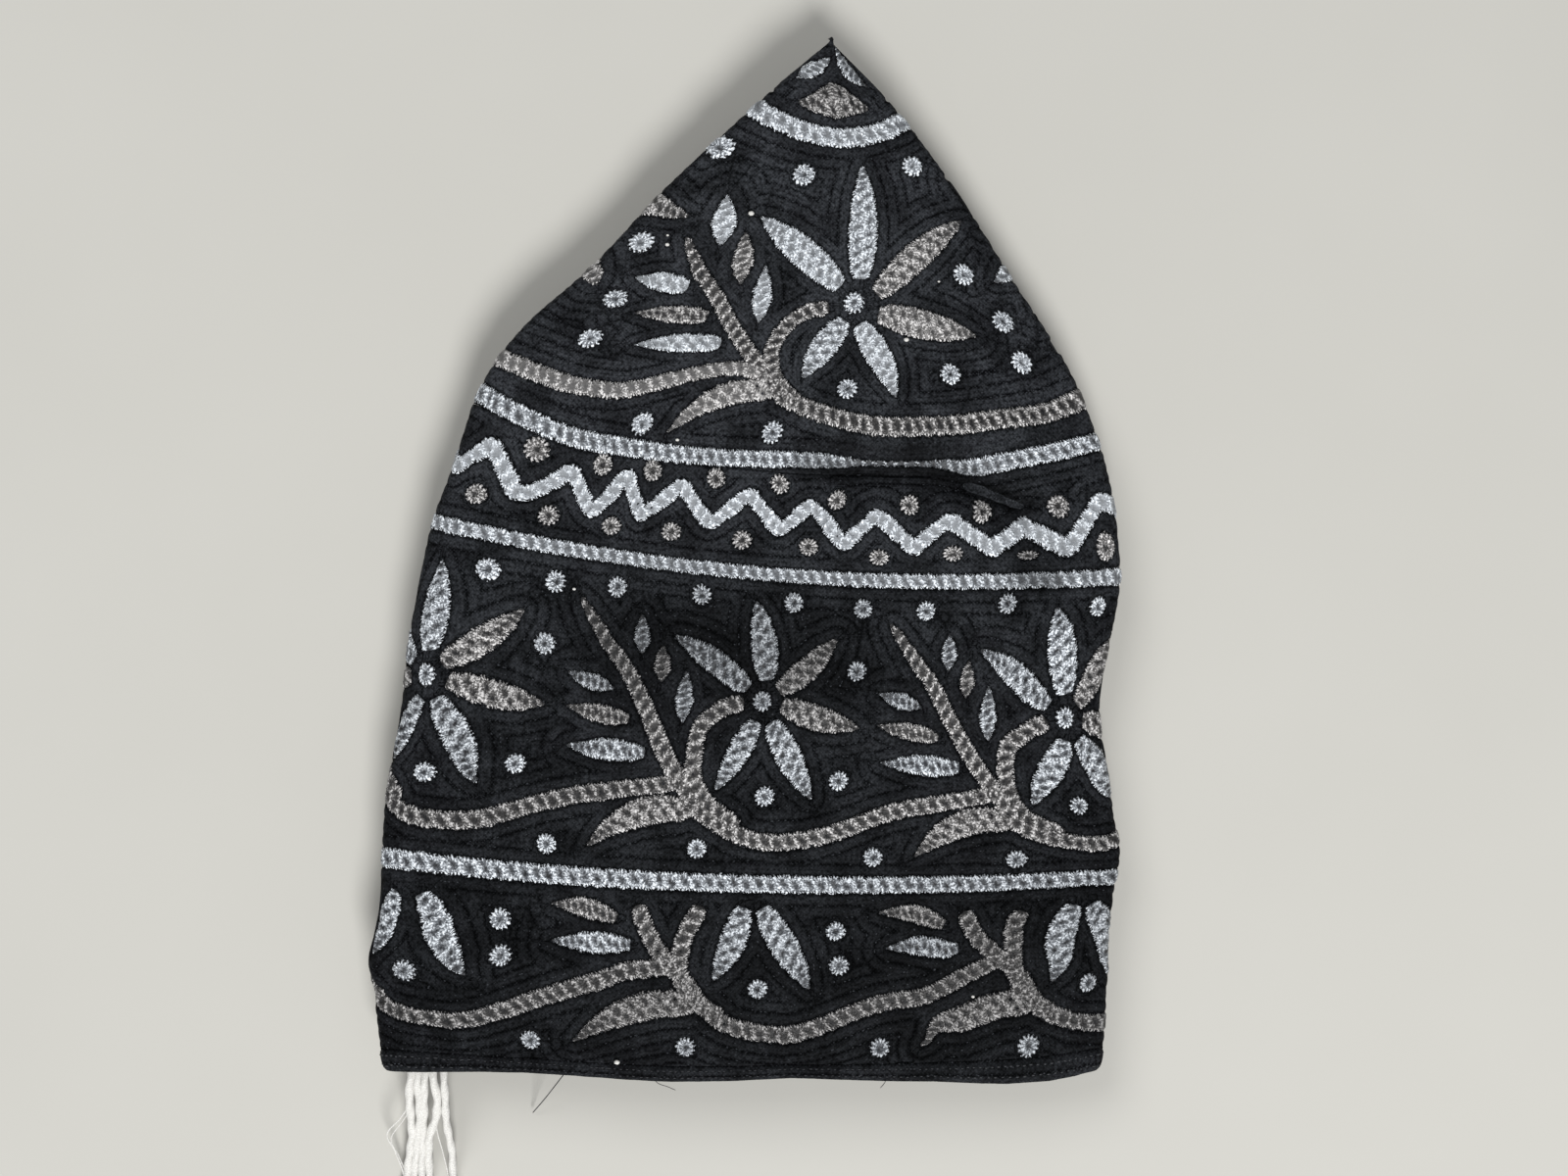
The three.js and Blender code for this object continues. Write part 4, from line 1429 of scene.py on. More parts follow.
@dataclass(frozen=True)
class BlackThreadFinish:
    """Fine black sewing thread."""

    name: str
    light: tuple[float, ...] = (0.03, 0.03, 0.035, 1)
    dark: tuple[float, ...] = (0.008, 0.008, 0.01, 1)
    fibre_size: float = 0.2
    roughness: float = 0.45
    shine: float = 0.3
    depth: float = 0.04

    def build(self) -> bpy.types.Material:
        """Makes the material.

        Returns:
            The material, with fine fibres along the thread.
        """
        material, wiring, shader = new_material(self.name)
        fibre = wiring.noise(wiring.place(), self.fibre_size)
        wiring.join(wiring.mix(fibre, self.dark, self.light), shader["Base Color"])
        shader["Roughness"].default_value = self.roughness
        shader["Specular IOR Level"].default_value = self.shine
        wiring.join(wiring.bump(fibre, self.depth), shader["Normal"])
        return material


@dataclass(frozen=True)
class FloorFinish:
    """A plain pale floor."""

    name: str = "pale_floor"
    light: tuple[float, ...] = (0.47, 0.46, 0.425, 1)
    dark: tuple[float, ...] = (0.44, 0.43, 0.395, 1)
    cloud_size: float = 60.0
    roughness: float = 0.7

    def build(self) -> bpy.types.Material:
        """Makes the material.

        Returns:
            The material, faintly uneven.
        """
        material, wiring, shader = new_material(self.name)
        cloudy = wiring.noise(wiring.place(), self.cloud_size, 3.0)
        wiring.join(wiring.mix(cloudy, self.dark, self.light), shader["Base Color"])
        shader["Roughness"].default_value = self.roughness
        return material


@dataclass
class PatternBook:
    """Lays out all the embroidery of the cap, panel by panel."""

    cap: FoldedCap
    band_map: BandMap = field(default_factory=BandMap)
    crown_map: CrownMap = field(default_factory=CrownMap)
    work: Embroidery = field(default_factory=Embroidery)
    seam_turn: float = 0.375
    line_widths: tuple[tuple[str, float, float], ...] = (("lower_line", 38.3, 3.3), ("upper_line", 95.8, 2.6))
    crown_line_width: float = 3.2
    crown_line_back: float = 118.2
    crown_dot: float = 4.4
    crown_stem: float = 3.2
    stem_reach: Point = (50.0, 66.4)
    fan_width: float = 7.1
    leaf_width: float = 3.3
    zigzag_dot: float = 4.0
    ring_radius: float = 20.8
    ring_width: float = 3.9
    zigzag_width: float = 2.9
    zigzag_pitch: float = 14.2
    zigzag_heights: Point = (104.0, 111.0)
    zigzag_dot_gaps: Point = (8.6, 9.4)
    round_steps: int = 2200
    zigzag_steps: int = 2600
    ring_steps: int = 700
    easing: float = 2.0

    def band(self) -> Pattern:
        """Lays out the side band.

        Returns:
            Its embroidery, without the line where the crown begins.
        """
        found = Pattern(self.band_map.spot)
        start, front_end = self.band_map.start, self.band_map.front_end
        for n in range(-1, self.band_map.repeats - 1):
            root = self.band_map.first_flower + self.band_map.repeat * n
            layers = (
                (PLANT_VARIATIONS, self.band_map.flower_height, BAND_MOTIFS, BAND_DOTS),
                (BORDER_VARIATIONS, 0.0, BORDER_MOTIFS, BORDER_DOTS),
            )
            for variations, height, motifs, dots in layers:
                varied = variations.get(n, Variation())
                petals = [motif for motif in motifs if motif.shape is Shape.PETAL]
                shares = zip(petals, varied.petals)
                wider = [replace(petal, width=petal.width * share) for petal, share in shares]
                motifs = [*wider, *petals[len(wider) :], *(motif for motif in motifs if motif not in petals)]
                self.add_motifs(found, "band", motifs, lambda flat: varied.apply(flat) + (root, height))
                self.add_dots(found, "band_dots", dots, lambda flat: varied.apply(flat) + (root, height))
            low = [dot for dot in BORDER_LOW_DOTS if not start - 3 < root + dot.centre[0] < front_end]
            self.add_dots(found, "band_dots", low, lambda flat: flat + (root, 0.0))
        low = [Dot(SILVER, spot) for spot in BORDER_LOW_DOTS_FRONT]
        self.add_dots(found, "band_dots", low, lambda flat: flat)
        around = self.around()
        for name, height, width in self.line_widths:
            path = np.stack([around, np.full(len(around), height)], 1)
            found.strips[name] = [self.work.strip(path, width, Shape.LINE)]
        zigzag, upper, lower = self.zigzag()
        found.strips["zigzag"] = [self.work.strip(zigzag, self.zigzag_width, Shape.LINE)]
        dots = [(spot, ZIGZAG_FLAT_DOTS.get(spot, 1.0)) for spot in upper + lower]
        dots = [Dot(Thread.TAUPE, spot, self.zigzag_dot, flatness) for spot, flatness in dots]
        self.add_dots(found, "zigzag_dots", dots, lambda flat: flat)
        return found

    def around(self) -> Array:
        """Distances all the way round the band, from the hidden seam in the right gusset."""
        start = float(self.band_map.distance(np.array([self.seam_turn]))[0])
        return np.linspace(start, start + self.band_map.length, self.round_steps)

    def zigzag(self) -> tuple[Array, list[Point], list[Point]]:
        """Follows the zigzag as the photo shows it on the front, and evenly round the rest of the band.

        Returns:
            The path round the band, and the dots above its valleys and below its peaks.
        """
        valley, peak = self.zigzag_heights
        upper_gap, lower_gap = self.zigzag_dot_gaps
        corners = list(ZIGZAG_FRONT)
        upper, lower = list(ZIGZAG_UPPER_DOTS), list(ZIGZAG_LOWER_DOTS)
        first, last = corners[0][0] + self.band_map.length, corners[-1][0]
        count = 2 * round((first - last) / self.zigzag_pitch)
        step = (first - last) / (count - 1)
        for n in range(1, count - 1):
            spot = last + n * step
            low = n % 2 == 1
            corners.append((spot, valley if low else peak))
            (upper if low else lower).append((spot, valley + upper_gap if low else peak - lower_gap))
        start = self.around()[0]
        corners = [(x + self.band_map.length if x < start else x, y) for x, y in corners]
        corners.sort()
        corners = [(corners[-1][0] - self.band_map.length, corners[-1][1]), *corners]
        path = evenly(np.array(corners, float), self.zigzag_steps)
        reach = round(6 * self.easing)
        window = np.exp(-0.5 * (np.arange(-reach, reach + 1) / self.easing) ** 2)
        window /= window.sum()
        eased = [np.convolve(np.pad(line, reach, "edge"), window, "valid") for line in path.T]
        return np.stack(eased, 1), upper, lower

    def crown(self) -> Pattern:
        """Lays out the crown.

        Returns:
            Its embroidery.
        """
        found = Pattern(self.crown_map.spot)
        degrees, radius = np.array(CROWN_VINE).T
        spots = self.crown_map.flat(*np.array(CROWN_DOTS).T)
        dots = [Dot(Thread.SILVER, tuple(spot), self.crown_dot) for spot in spots]
        for n in range(self.crown_map.repeats):
            even = n * math.tau / self.crown_map.repeats
            lean, next_lean = CROWN_LEANS[n], CROWN_LEANS[(n + 1) % self.crown_map.repeats]
            varied = CROWN_VARIATIONS.get(n, Variation())
            spin, spin_even = self.spin(even + math.radians(lean)), self.spin(even)
            reached = degrees + np.interp(degrees, self.stem_reach, (0, next_lean - lean))
            vine = self.crown_map.flat(reached, radius)
            stem = Motif(Thread.TAUPE, Shape.STEM, self.crown_stem, (*CROWN_STEM, *map(tuple, vine)))
            self.add_motifs(found, "crown", (*CROWN_MOTIFS, stem), lambda flat: varied.apply(flat) @ spin)
            self.add_dots(found, "crown_dots", dots, lambda flat: varied.apply(flat) @ spin)
            self.add_motifs(found, "apex", self.apex_motifs(n), lambda flat: flat @ spin_even)
        degrees = np.linspace(0, 360, self.ring_steps) + (self.seam_turn - self.crown_map.middle) * 360
        ring = self.crown_map.flat(degrees, np.full(len(degrees), self.ring_radius))
        found.strips["apex_ring"] = [self.work.strip(ring, self.ring_width, Shape.LINE)]
        return found

    @staticmethod
    def spin(angle: float) -> Array:
        """What carries flat spots round the crown's centre by an angle."""
        return np.array([[math.cos(angle), math.sin(angle)], [-math.sin(angle), math.cos(angle)]])

    def apex_motifs(self, repeat: int) -> tuple[Motif, ...]:
        """Draws what is inside the ring.

        Args:
            repeat: The number of the crown's repeat.

        Returns:
            The fan and the petal of that repeat.
        """
        paths = (APEX_FAN, APEX_PETALS.get(repeat, APEX_PETAL))
        fan, petal = (tuple(map(tuple, self.crown_map.flat(*np.array(path).T))) for path in paths)
        fan = Motif(Thread.TAUPE, Shape.FAN, self.fan_width, fan)
        return fan, Motif(Thread.SILVER, Shape.LEAF, self.leaf_width, petal)

    def crown_line(self) -> Pattern:
        """Lays out the silver line where the crown begins, which hides in the fold for part of the front.

        Returns:
            The line alone.
        """
        found = Pattern(self.band_map.spot)
        around = self.around()
        front = np.array(CROWN_LINE_FRONT)
        along = self.band_map.start + np.mod(around - self.band_map.start, self.band_map.length)
        height = hermite(front[:, 0], front[:, 1:], np.clip(along, *front[[0, -1], 0]))[:, 0]
        height = np.where(along <= front[-1, 0], height, self.crown_line_back)
        strip = self.work.strip(np.stack([around, height], 1), self.crown_line_width, Shape.LINE)
        along = self.band_map.start + np.mod(strip.middle[:, 0] - self.band_map.start, self.band_map.length)
        shown = np.interp(along, *np.array(CROWN_LINE_SHOWN).T)
        found.strips["crown_line"] = [replace(strip, half=strip.half * shown)]
        return found

    def add_motifs(
        self,
        found: Pattern,
        panel: str,
        motifs: Iterable[Motif],
        move: Callable[[Array], Array],
    ) -> None:
        """Lays out a repeat's motifs.

        Args:
            found: The pattern that they join.
            panel: The panel's name.
            motifs: The motifs, as drawn.
            move: Carries them to their repeat.
        """
        for motif in motifs:
            kind = "vines" if motif.shape in (Shape.LINE, Shape.STEM) else "petals"
            strip = self.work.strip(move(smooth_path(motif.path)), motif.width, motif.shape)
            found.strips.setdefault(f"{panel}_{motif.thread.value}_{kind}", []).append(strip)

    @staticmethod
    def add_dots(found: Pattern, name: str, dots: Iterable[Dot], move: Callable[[Array], Array]) -> None:
        """Lays out a repeat's dots.

        Args:
            found: The pattern that they join.
            name: The name of their piece.
            dots: The dots, as drawn.
            move: Carries them to their repeat.
        """
        for dot in dots:
            centre = move(np.array(dot.centre, float)[None, :])[0]
            found.dots.setdefault(name, []).append(replace(dot, centre=tuple(centre)))


# Outlines of motifs, each as its points and the way outwards at each.
Outlines = list[tuple[Array, Array]]
DOT_CORNERS = 24


@dataclass
class QuiltField:
    """How far any spot of the flat cloth is from the nearest embroidery."""

    tree: kdtree.KDTree
    outwards: Array
    points: Array
    dots: QuiltField | None = None
    dot_ring: float = 0.45

    @classmethod
    def around(cls, outlines: Outlines, dots: QuiltField | None = None) -> QuiltField:
        """The field round some outlines, each given as points and the way outwards at each.

        Args:
            outlines: The motifs' outlines.
            dots: The field round the dots, which matters only within a narrow ring round each.

        Returns:
            The field.
        """
        points = np.concatenate([points for points, _ in outlines])
        outwards = np.concatenate([outwards for _, outwards in outlines])
        tree = kdtree.KDTree(len(points))
        for n, (x, y) in enumerate(points.tolist()):
            tree.insert((x, y, 0), n)
        tree.balance()
        return cls(tree, outwards, points, dots)

    def distance(self, spots: Array) -> Array:
        """Measures from the embroidery.

        Args:
            spots: Flat spots.

        Returns:
            How far each is from the nearest motif, below 0 inside it.
        """
        found = [self.tree.find((x, y, 0)) for x, y in spots.tolist()]
        nearest = np.array([index for _, index, _ in found])
        away = np.array([distance for _, _, distance in found])
        inside = ((spots - self.points[nearest]) * self.outwards[nearest]).sum(1) < 0
        away = np.where(inside, -away, away)
        if self.dots is None:
            return away
        near = self.dots.distance(spots)
        return np.where((near < self.dot_ring) & (near < away), near, away)


def strip_outlines(pattern: Pattern) -> Outlines:
    """The outlines of a pattern's motifs."""
    return [strip.outline for strips in pattern.strips.values() for strip in strips]


def dot_outlines(pattern: Pattern) -> Outlines:
    """Outlines a pattern's dots.

    Args:
        pattern: The pattern.

    Returns:
        The points of each dot's outline and the ways outwards.
    """
    outlines = []
    angle = np.linspace(0, math.tau, DOT_CORNERS, endpoint=False)
    around = np.stack([np.cos(angle), np.sin(angle)], 1)
    for dots in pattern.dots.values():
        outlines += [(dot.centre + around * (1, dot.flatness) * dot.width / 2, around) for dot in dots]
    return outlines


@dataclass
class ClothPanel:
    """A panel of the cap as a closed wall: its quilted outside, its plain inside and its edges."""

    cap: FoldedCap
    ridge_pitch: float = 2.2
    ridge_height: float = 0.14
    first_ridge: float = 0.22
    ridge_fullness: float = 0.7
    under_embroidery: float = -0.25
    slope: float = 0.5
    inside_quilt: float = 1.1
    weld: float = 0.002

    def surface(self, distance: Array) -> Array:
        """Raises the quilting.

        Args:
            distance: Distances from the embroidery, below 0 inside it.

        Returns:
            How far the cloth's outside stands out at each.
        """
        wave = np.abs(np.sin(math.pi * distance / self.ridge_pitch)) ** self.ridge_fullness
        size = np.where(distance < self.ridge_pitch, self.first_ridge, self.ridge_height)
        sunk = self.under_embroidery * np.minimum(1, -distance / self.slope)
        return np.where(distance < 0, sunk, size * wave)

    def build(
        self,
        rows: list[tuple[float, bool]],
        turns: Array,
        field_at: Callable[[Array, Array], Array],
        poles: tuple[bool, bool],
    ) -> bmesh.types.BMesh:
        """The wall's mesh.

        Args:
            rows: Its rows in order, each a height up the cloth and whether it is on the outside.
            turns: Its columns, with the first turn repeated a whole turn on.
            field_at: The distance from the embroidery at heights and turns.
            poles: Whether the first and the last row close to a point.

        Returns:
            The mesh, in metres.
        """
        heights = np.array([height for height, _ in rows])
        outside = np.array([out for _, out in rows])
        cloth = np.repeat(heights, len(turns))
        turn = np.tile(turns, len(rows))
        outer = np.repeat(outside, len(turns))
        quilt = np.full(len(cloth), self.inside_quilt)
        quilt[outer] = field_at(cloth[outer], turn[outer])
        half = self.cap.wall / 2
        out = np.where(outer, half + self.surface(quilt), -half)
        places = self.cap.place(cloth, turn, out)
        for closed, row in zip(poles, (0, len(rows) - 1)):
            if closed:
                span = slice(row * len(turns), (row + 1) * len(turns))
                places[span] = places[span].mean(0)
        mesh = new_mesh(("quilt", "shade"))
        shade = fold_shade(places[:, :2] / MM) * self.cap.on_front(turn)
        add_grid(mesh, places.reshape(len(rows), len(turns), 3), {"quilt": quilt, "shade": shade})
        bmesh.ops.remove_doubles(mesh, verts=mesh.verts, dist=self.weld * MM)
        return mesh


@dataclass
class KumaCap:
    """The cap: its cloth panels, hem, embroidery and loose yarns."""

    cap: FoldedCap
    book: PatternBook = field(init=False)
    seam_reach: float = 15.0
    hem_top: float = 3.7
    seam: Point = (0.1, 0.2)
    band_rows: tuple[int, int] = (206, 11)
    band_columns: tuple[int, int, int] = (246, 16, 116)
    crown_rows: tuple[int, int] = (156, 15)
    crown_columns: tuple[int, int, int] = (226, 15, 106)
    tip: float = 3.0
    weld: float = 0.004

    def __post_init__(self) -> None:
        """Lays out the embroidery."""
        self.book = PatternBook(self.cap)
        self.band_pattern = self.book.band()
        self.crown_pattern = self.book.crown()
        self.line_pattern = self.book.crown_line()
        band = strip_outlines(self.band_pattern) + strip_outlines(self.line_pattern)
        band_dots = QuiltField.around(self.wrapped(dot_outlines(self.band_pattern)))
        self.band_field = QuiltField.around(self.wrapped(band), band_dots)
        line = []
        for points, _ in strip_outlines(self.line_pattern):
            cloth, turn = self.book.band_map.spot(points)
            half = len(points) // 2
            centre = np.tile((cloth[:half] + cloth[half:]) / 2, 2)
            disc = self.book.crown_map.disc(cloth, turn)
            inwards = np.sign(centre - cloth) / np.linalg.norm(disc, axis=1)
            line.append((disc, disc * inwards[:, None]))
        crown_dots = QuiltField.around(dot_outlines(self.crown_pattern))
        self.crown_field = QuiltField.around(strip_outlines(self.crown_pattern) + line, crown_dots)

    def wrapped(self, outlines: Outlines) -> Outlines:
        """Closes the band's drawing into a loop.

        Args:
            outlines: The band's outlines.

        Returns:
            The outlines, with those near either end of the drawing given at both.
        """
        start, length = self.book.band_map.start, self.book.band_map.length
        copies = [(points + (shift, 0), out) for points, out in outlines for shift in (-length, 0, length)]
        low, high = start - self.seam_reach, start + length + self.seam_reach
        near = [(points[:, 0] > low) & (points[:, 0] < high) for points, _ in copies]
        return [(points[kept], out[kept]) for (points, out), kept in zip(copies, near)]

    def band_distance(self, cloth: Array, turn: Array) -> Array:
        """The distance from the embroidery on the band."""
        return self.band_field.distance(np.stack([self.book.band_map.distance(turn), cloth], 1))

    def crown_distance(self, cloth: Array, turn: Array) -> Array:
        """The distance from the embroidery on the crown."""
        return self.crown_field.distance(self.book.crown_map.disc(cloth, turn))

    def columns(self, front: int, gusset: int, back: int) -> Array:
        """Turns round the cap with so many columns on each layer."""
        return self.cap.spaced((front, gusset, gusset, back, gusset, gusset))

    def side_band(self, material: bpy.types.Material) -> bpy.types.Object:
        """Builds the side band.

        Args:
            material: Its cloth.

        Returns:
            The band, a closed wall from the hem up to the crown.
        """
        low, high = self.hem_top, self.cap.band_height + self.seam[0]
        outer = [(height, True) for height in np.linspace(low, high, self.band_rows[0])]
        inner = [(height, False) for height in np.linspace(high, low, self.band_rows[1])]
        rows, columns = [*outer, *inner, outer[0]], self.columns(*self.band_columns)
        mesh = ClothPanel(self.cap).build(rows, columns, self.band_distance, (False, False))
        return finish_piece(mesh, "side_band_cloth", material)

    def crown(self, material: bpy.types.Material) -> bpy.types.Object:
        """Builds the crown.

        Args:
            material: Its cloth.

        Returns:
            The crown, a closed wall from the band up to the point.
        """
        low, high = self.cap.band_height + self.seam[1], self.cap.length
        outer = [(height, True) for height in np.linspace(high, low, self.crown_rows[0])]
        inner = [(height, False) for height in np.linspace(low, high - self.tip, self.crown_rows[1])]
        columns = self.columns(*self.crown_columns)
        mesh = ClothPanel(self.cap).build([*outer, *inner], columns, self.crown_distance, (True, True))
        return finish_piece(mesh, "crown_cloth", material)

    def embroider(
        self,
        name: str,
        pattern: Pattern,
        material: bpy.types.Material,
        period: float,
        painted_sheen: float,
    ) -> bpy.types.Object:
        """One piece of embroidery, raised on the folded cloth.

        Args:
            name: The piece's name, as the pattern has it.
            pattern: The pattern that it is part of.
            material: Its thread.
            period: The distance between the eyelets of one row.
            painted_sheen: How much lighter its thread is painted, for the sheen of its stitches, than usual.

        Returns:
            The piece.
        """
        mesh = new_mesh((*EYELET_NOTES, "shade"))
        for strip in pattern.strips.get(name, ()):
            self.book.work.add_strip(mesh, strip, period, painted_sheen)
        for dot in pattern.dots.get(name, ()):
            self.book.work.add_dot(mesh, dot, painted_sheen)
        bmesh.ops.remove_doubles(mesh, verts=mesh.verts, dist=self.weld)
        flat = np.array([vert.co for vert in mesh.verts])
        cloth, turn = pattern.spot(flat[:, :2])
        places = self.cap.place(cloth, turn, self.cap.wall / 2 + flat[:, 2])
        shade = fold_shade(places[:, :2] / MM) * self.cap.on_front(turn)
        set_verts(mesh, mesh.verts, places, {"shade": shade})
        return finish_piece(mesh, name, material)


@dataclass
class Hem:
    """The cloth's edge rolled over all round the opening, held by two rows of small stitches."""

    cap: FoldedCap
    turns: Array
    profile: tuple[Point, ...] = (
        (3.75, 0.8), (3.45, 1.02), (3.15, 0.98), (2.85, 1.26), (2.2, 1.38), (1.4, 1.42), (0.7, 1.3),
        (0.2, 0.95), (0, 0.35), (0, -0.4), (0.25, -0.95), (0.8, -1.25), (2.4, -1.3), (3.4, -1.15),
        (3.75, -0.8),
    )
    stitch_rows: tuple[Point, ...] = ((2.6, 1.15), (1.15, 1.3))
    stitch_size: Point = (0.62, 0.26)
    stitch_grid: tuple[int, int] = (4, 5)
    stitch_shift: float = 0.12
    stitch_height: float = 0.22
    stitch_sunk: float = 0.08
    wobble: float = 0.22
    quilt_start: float = 0.75
    weld: float = 0.002
    seed: int = 3

    def roll(self, material: bpy.types.Material) -> bpy.types.Object:
        """Builds the rolled edge.

        Args:
            material: Its cloth.

        Returns:
            The closed roll.
        """
        rng = np.random.default_rng(self.seed)
        profile = np.array([*self.profile, self.profile[0]])
        cloth, out = (np.repeat(profile[:, axis], len(self.turns)) for axis in (0, 1))
        wobble = np.convolve(rng.uniform(-self.wobble, self.wobble, len(self.turns)), np.ones(5) / 5, "same")
        wobble[[0, -1]] = 0
        out = out + np.tile(wobble, len(profile)) * np.sign(out)
        places = self.cap.place(cloth, np.tile(self.turns, len(profile)), out)
        mesh = new_mesh(("quilt",))
        add_grid(mesh, places.reshape(len(profile), len(self.turns), 3), {"quilt": cloth + self.quilt_start})
        bmesh.ops.remove_doubles(mesh, verts=mesh.verts, dist=self.weld * MM)
        return finish_piece(mesh, "hem_roll", material)

    def stitches(self, material: bpy.types.Material, band_map: BandMap) -> bpy.types.Object:
        """Builds the small stitches along the hem.

        Args:
            material: Their thread.
            band_map: Where distances round the band are.

        Returns:
            The stitches as one piece.
        """
        rng = np.random.default_rng(self.seed + 1)
        mesh = new_mesh()
        length, width = self.stitch_size
        down, over = (np.linspace(-1, 1, count) for count in self.stitch_grid)
        grid = np.stack(np.meshgrid(over, down), -1).reshape(-1, 2)
        dome = np.sqrt(np.clip(1 - grid[:, 1] ** 2 * 0.98, 0, 1)) * (1 - grid[:, 0] ** 4)
        for height, pitch in self.stitch_rows:
            level = np.interp(height, *np.array(sorted(self.profile[:9])).T)
            for distance in np.arange(0, band_map.length, pitch):
                shift = rng.uniform(-self.stitch_shift, self.stitch_shift, 2)
                along = distance + shift[0] + grid[:, 0] * length / 2
                cloth = height + shift[1] + grid[:, 1] * width / 2 * (1 - 0.5 * grid[:, 0] ** 2)
                out = level - self.stitch_sunk + self.stitch_height * dome
                places = self.cap.place(cloth, band_map.turn(along), out)
                add_grid(mesh, places.reshape(*self.stitch_grid, 3), {})
        return finish_piece(mesh, "hem_stitches", material)


@dataclass(frozen=True)
class Strand:
    """A bare strand by points in millimetres of the row frame, given from its root to its end."""

    path: tuple[tuple[float, float, float], ...]
    radius: float = 0.92
    sides: int = 10
    twist: float = 4.6
    ply: float = 0.11


WHITE_YARNS = (
    Strand((
        (-57, -72, 10.9), (-57.5, -78, 10.9), (-57.7, -82, 10.4), (-57.6, -86.1, 9.4), (-57.8, -90.7, 7.2),
        (-57.6, -94.7, 4.9), (-57.3, -98.6, 2.6), (-57.3, -103.8, 1), (-56.4, -109.5, 0.65),
    ), 0.82),
    Strand((
        (-58.6, -72, 10.9), (-59.6, -78, 10.9), (-59.8, -82, 10.4), (-59.1, -87.2, 8.9), (-59.9, -91.6, 6.7),
        (-61.2, -94.7, 4.9), (-61.8, -98.6, 2.6), (-61.9, -103.8, 1), (-61.2, -110.5, 0.6),
    )),
    Strand((
        (-60.6, -72, 10.9), (-62.2, -78, 10.9), (-62.7, -82, 10.4), (-62.6, -87.2, 8.9), (-62.8, -91.6, 6.7),
        (-63.7, -95.8, 4.3), (-64.3, -99.9, 2.2), (-64.9, -103.8, 1), (-65, -111.5, 0.6),
    )),
    Strand((
        (-62, -72, 10.9), (-63.6, -78, 10.9), (-63.9, -82, 10.4), (-64.4, -86.1, 9.4), (-64.5, -90.3, 7.4),
        (-64.6, -94.7, 4.9), (-65.4, -98.6, 2.6), (-66.3, -103.8, 1), (-67.4, -108.5, 0.6),
    )),
    Strand((
        (-60, -72, 10.9), (-61.2, -78, 10.9), (-61.3, -82, 10.4), (-61.6, -86.1, 9.4), (-61.9, -90.3, 7.4),
        (-62.4, -93.1, 5.8), (-63, -98.6, 2.8), (-63.3, -103.8, 1.6), (-63.4, -112.5, 0.65),
    ), 0.84),
    Strand((
        (-63.6, -87, 8.9), (-66.4, -91, 6.8), (-69.4, -94.7, 4.9), (-68.3, -98.6, 2.6), (-66.9, -103.6, 1.1),
        (-67, -108.5, 0.4),
    ), 0.16, 5, 0, 0),
    Strand((
        (-63.6, -88, 8.5), (-66, -91.6, 6.6), (-68.7, -95.7, 4.6), (-67.6, -99.6, 2.4), (-66.4, -103.6, 1),
        (-66.2, -107.5, 0.3),
    ), 0.12, 5, 0, 0),
    Strand((
        (-60.3, -89, 7.9), (-59.9, -92, 6.3), (-59.7, -94.7, 4.9), (-59.1, -98.6, 2.6), (-58.3, -103.8, 0.9),
        (-58.2, -108, 0.3),
    ), 0.14, 5, 0, 0),
)
DARK_HAIRS = (
    Strand((
        (-34.6, -81.6, 10.6), (-35.9, -83.4, 9.6), (-38.9, -87.6, 5.6), (-41.9, -91.6, 0.9),
    ), 0.11, 5, 0, 0),
    Strand(((-18.4, -81.6, 8.8), (-17.4, -84.3, 7), (-15.4, -85.6, 5), (-13.9, -86.7, 3.2)), 0.07, 4, 0, 0),
    Strand(((26.7, -82.4, 8), (26.3, -84.4, 6.4), (25.4, -85.9, 5)), 0.07, 4, 0, 0),
)
# Specks of white fluff on the cloth, by height up the cloth, turn round the cap and radius.
FLECKS = (
    (4.2, 0.0833, 0.56), (15.6, 0.2023, 0.34), (119.6, 0.0824, 0.36), (89, 0.0559, 0.34),
    (159, 0.0242, 0.28), (157.3, 0.0278, 0.42), (167.7, 0.0658, 0.58), (153, 0.2044, 0.26),
    (142.4, 0.1767, 0.5),
)


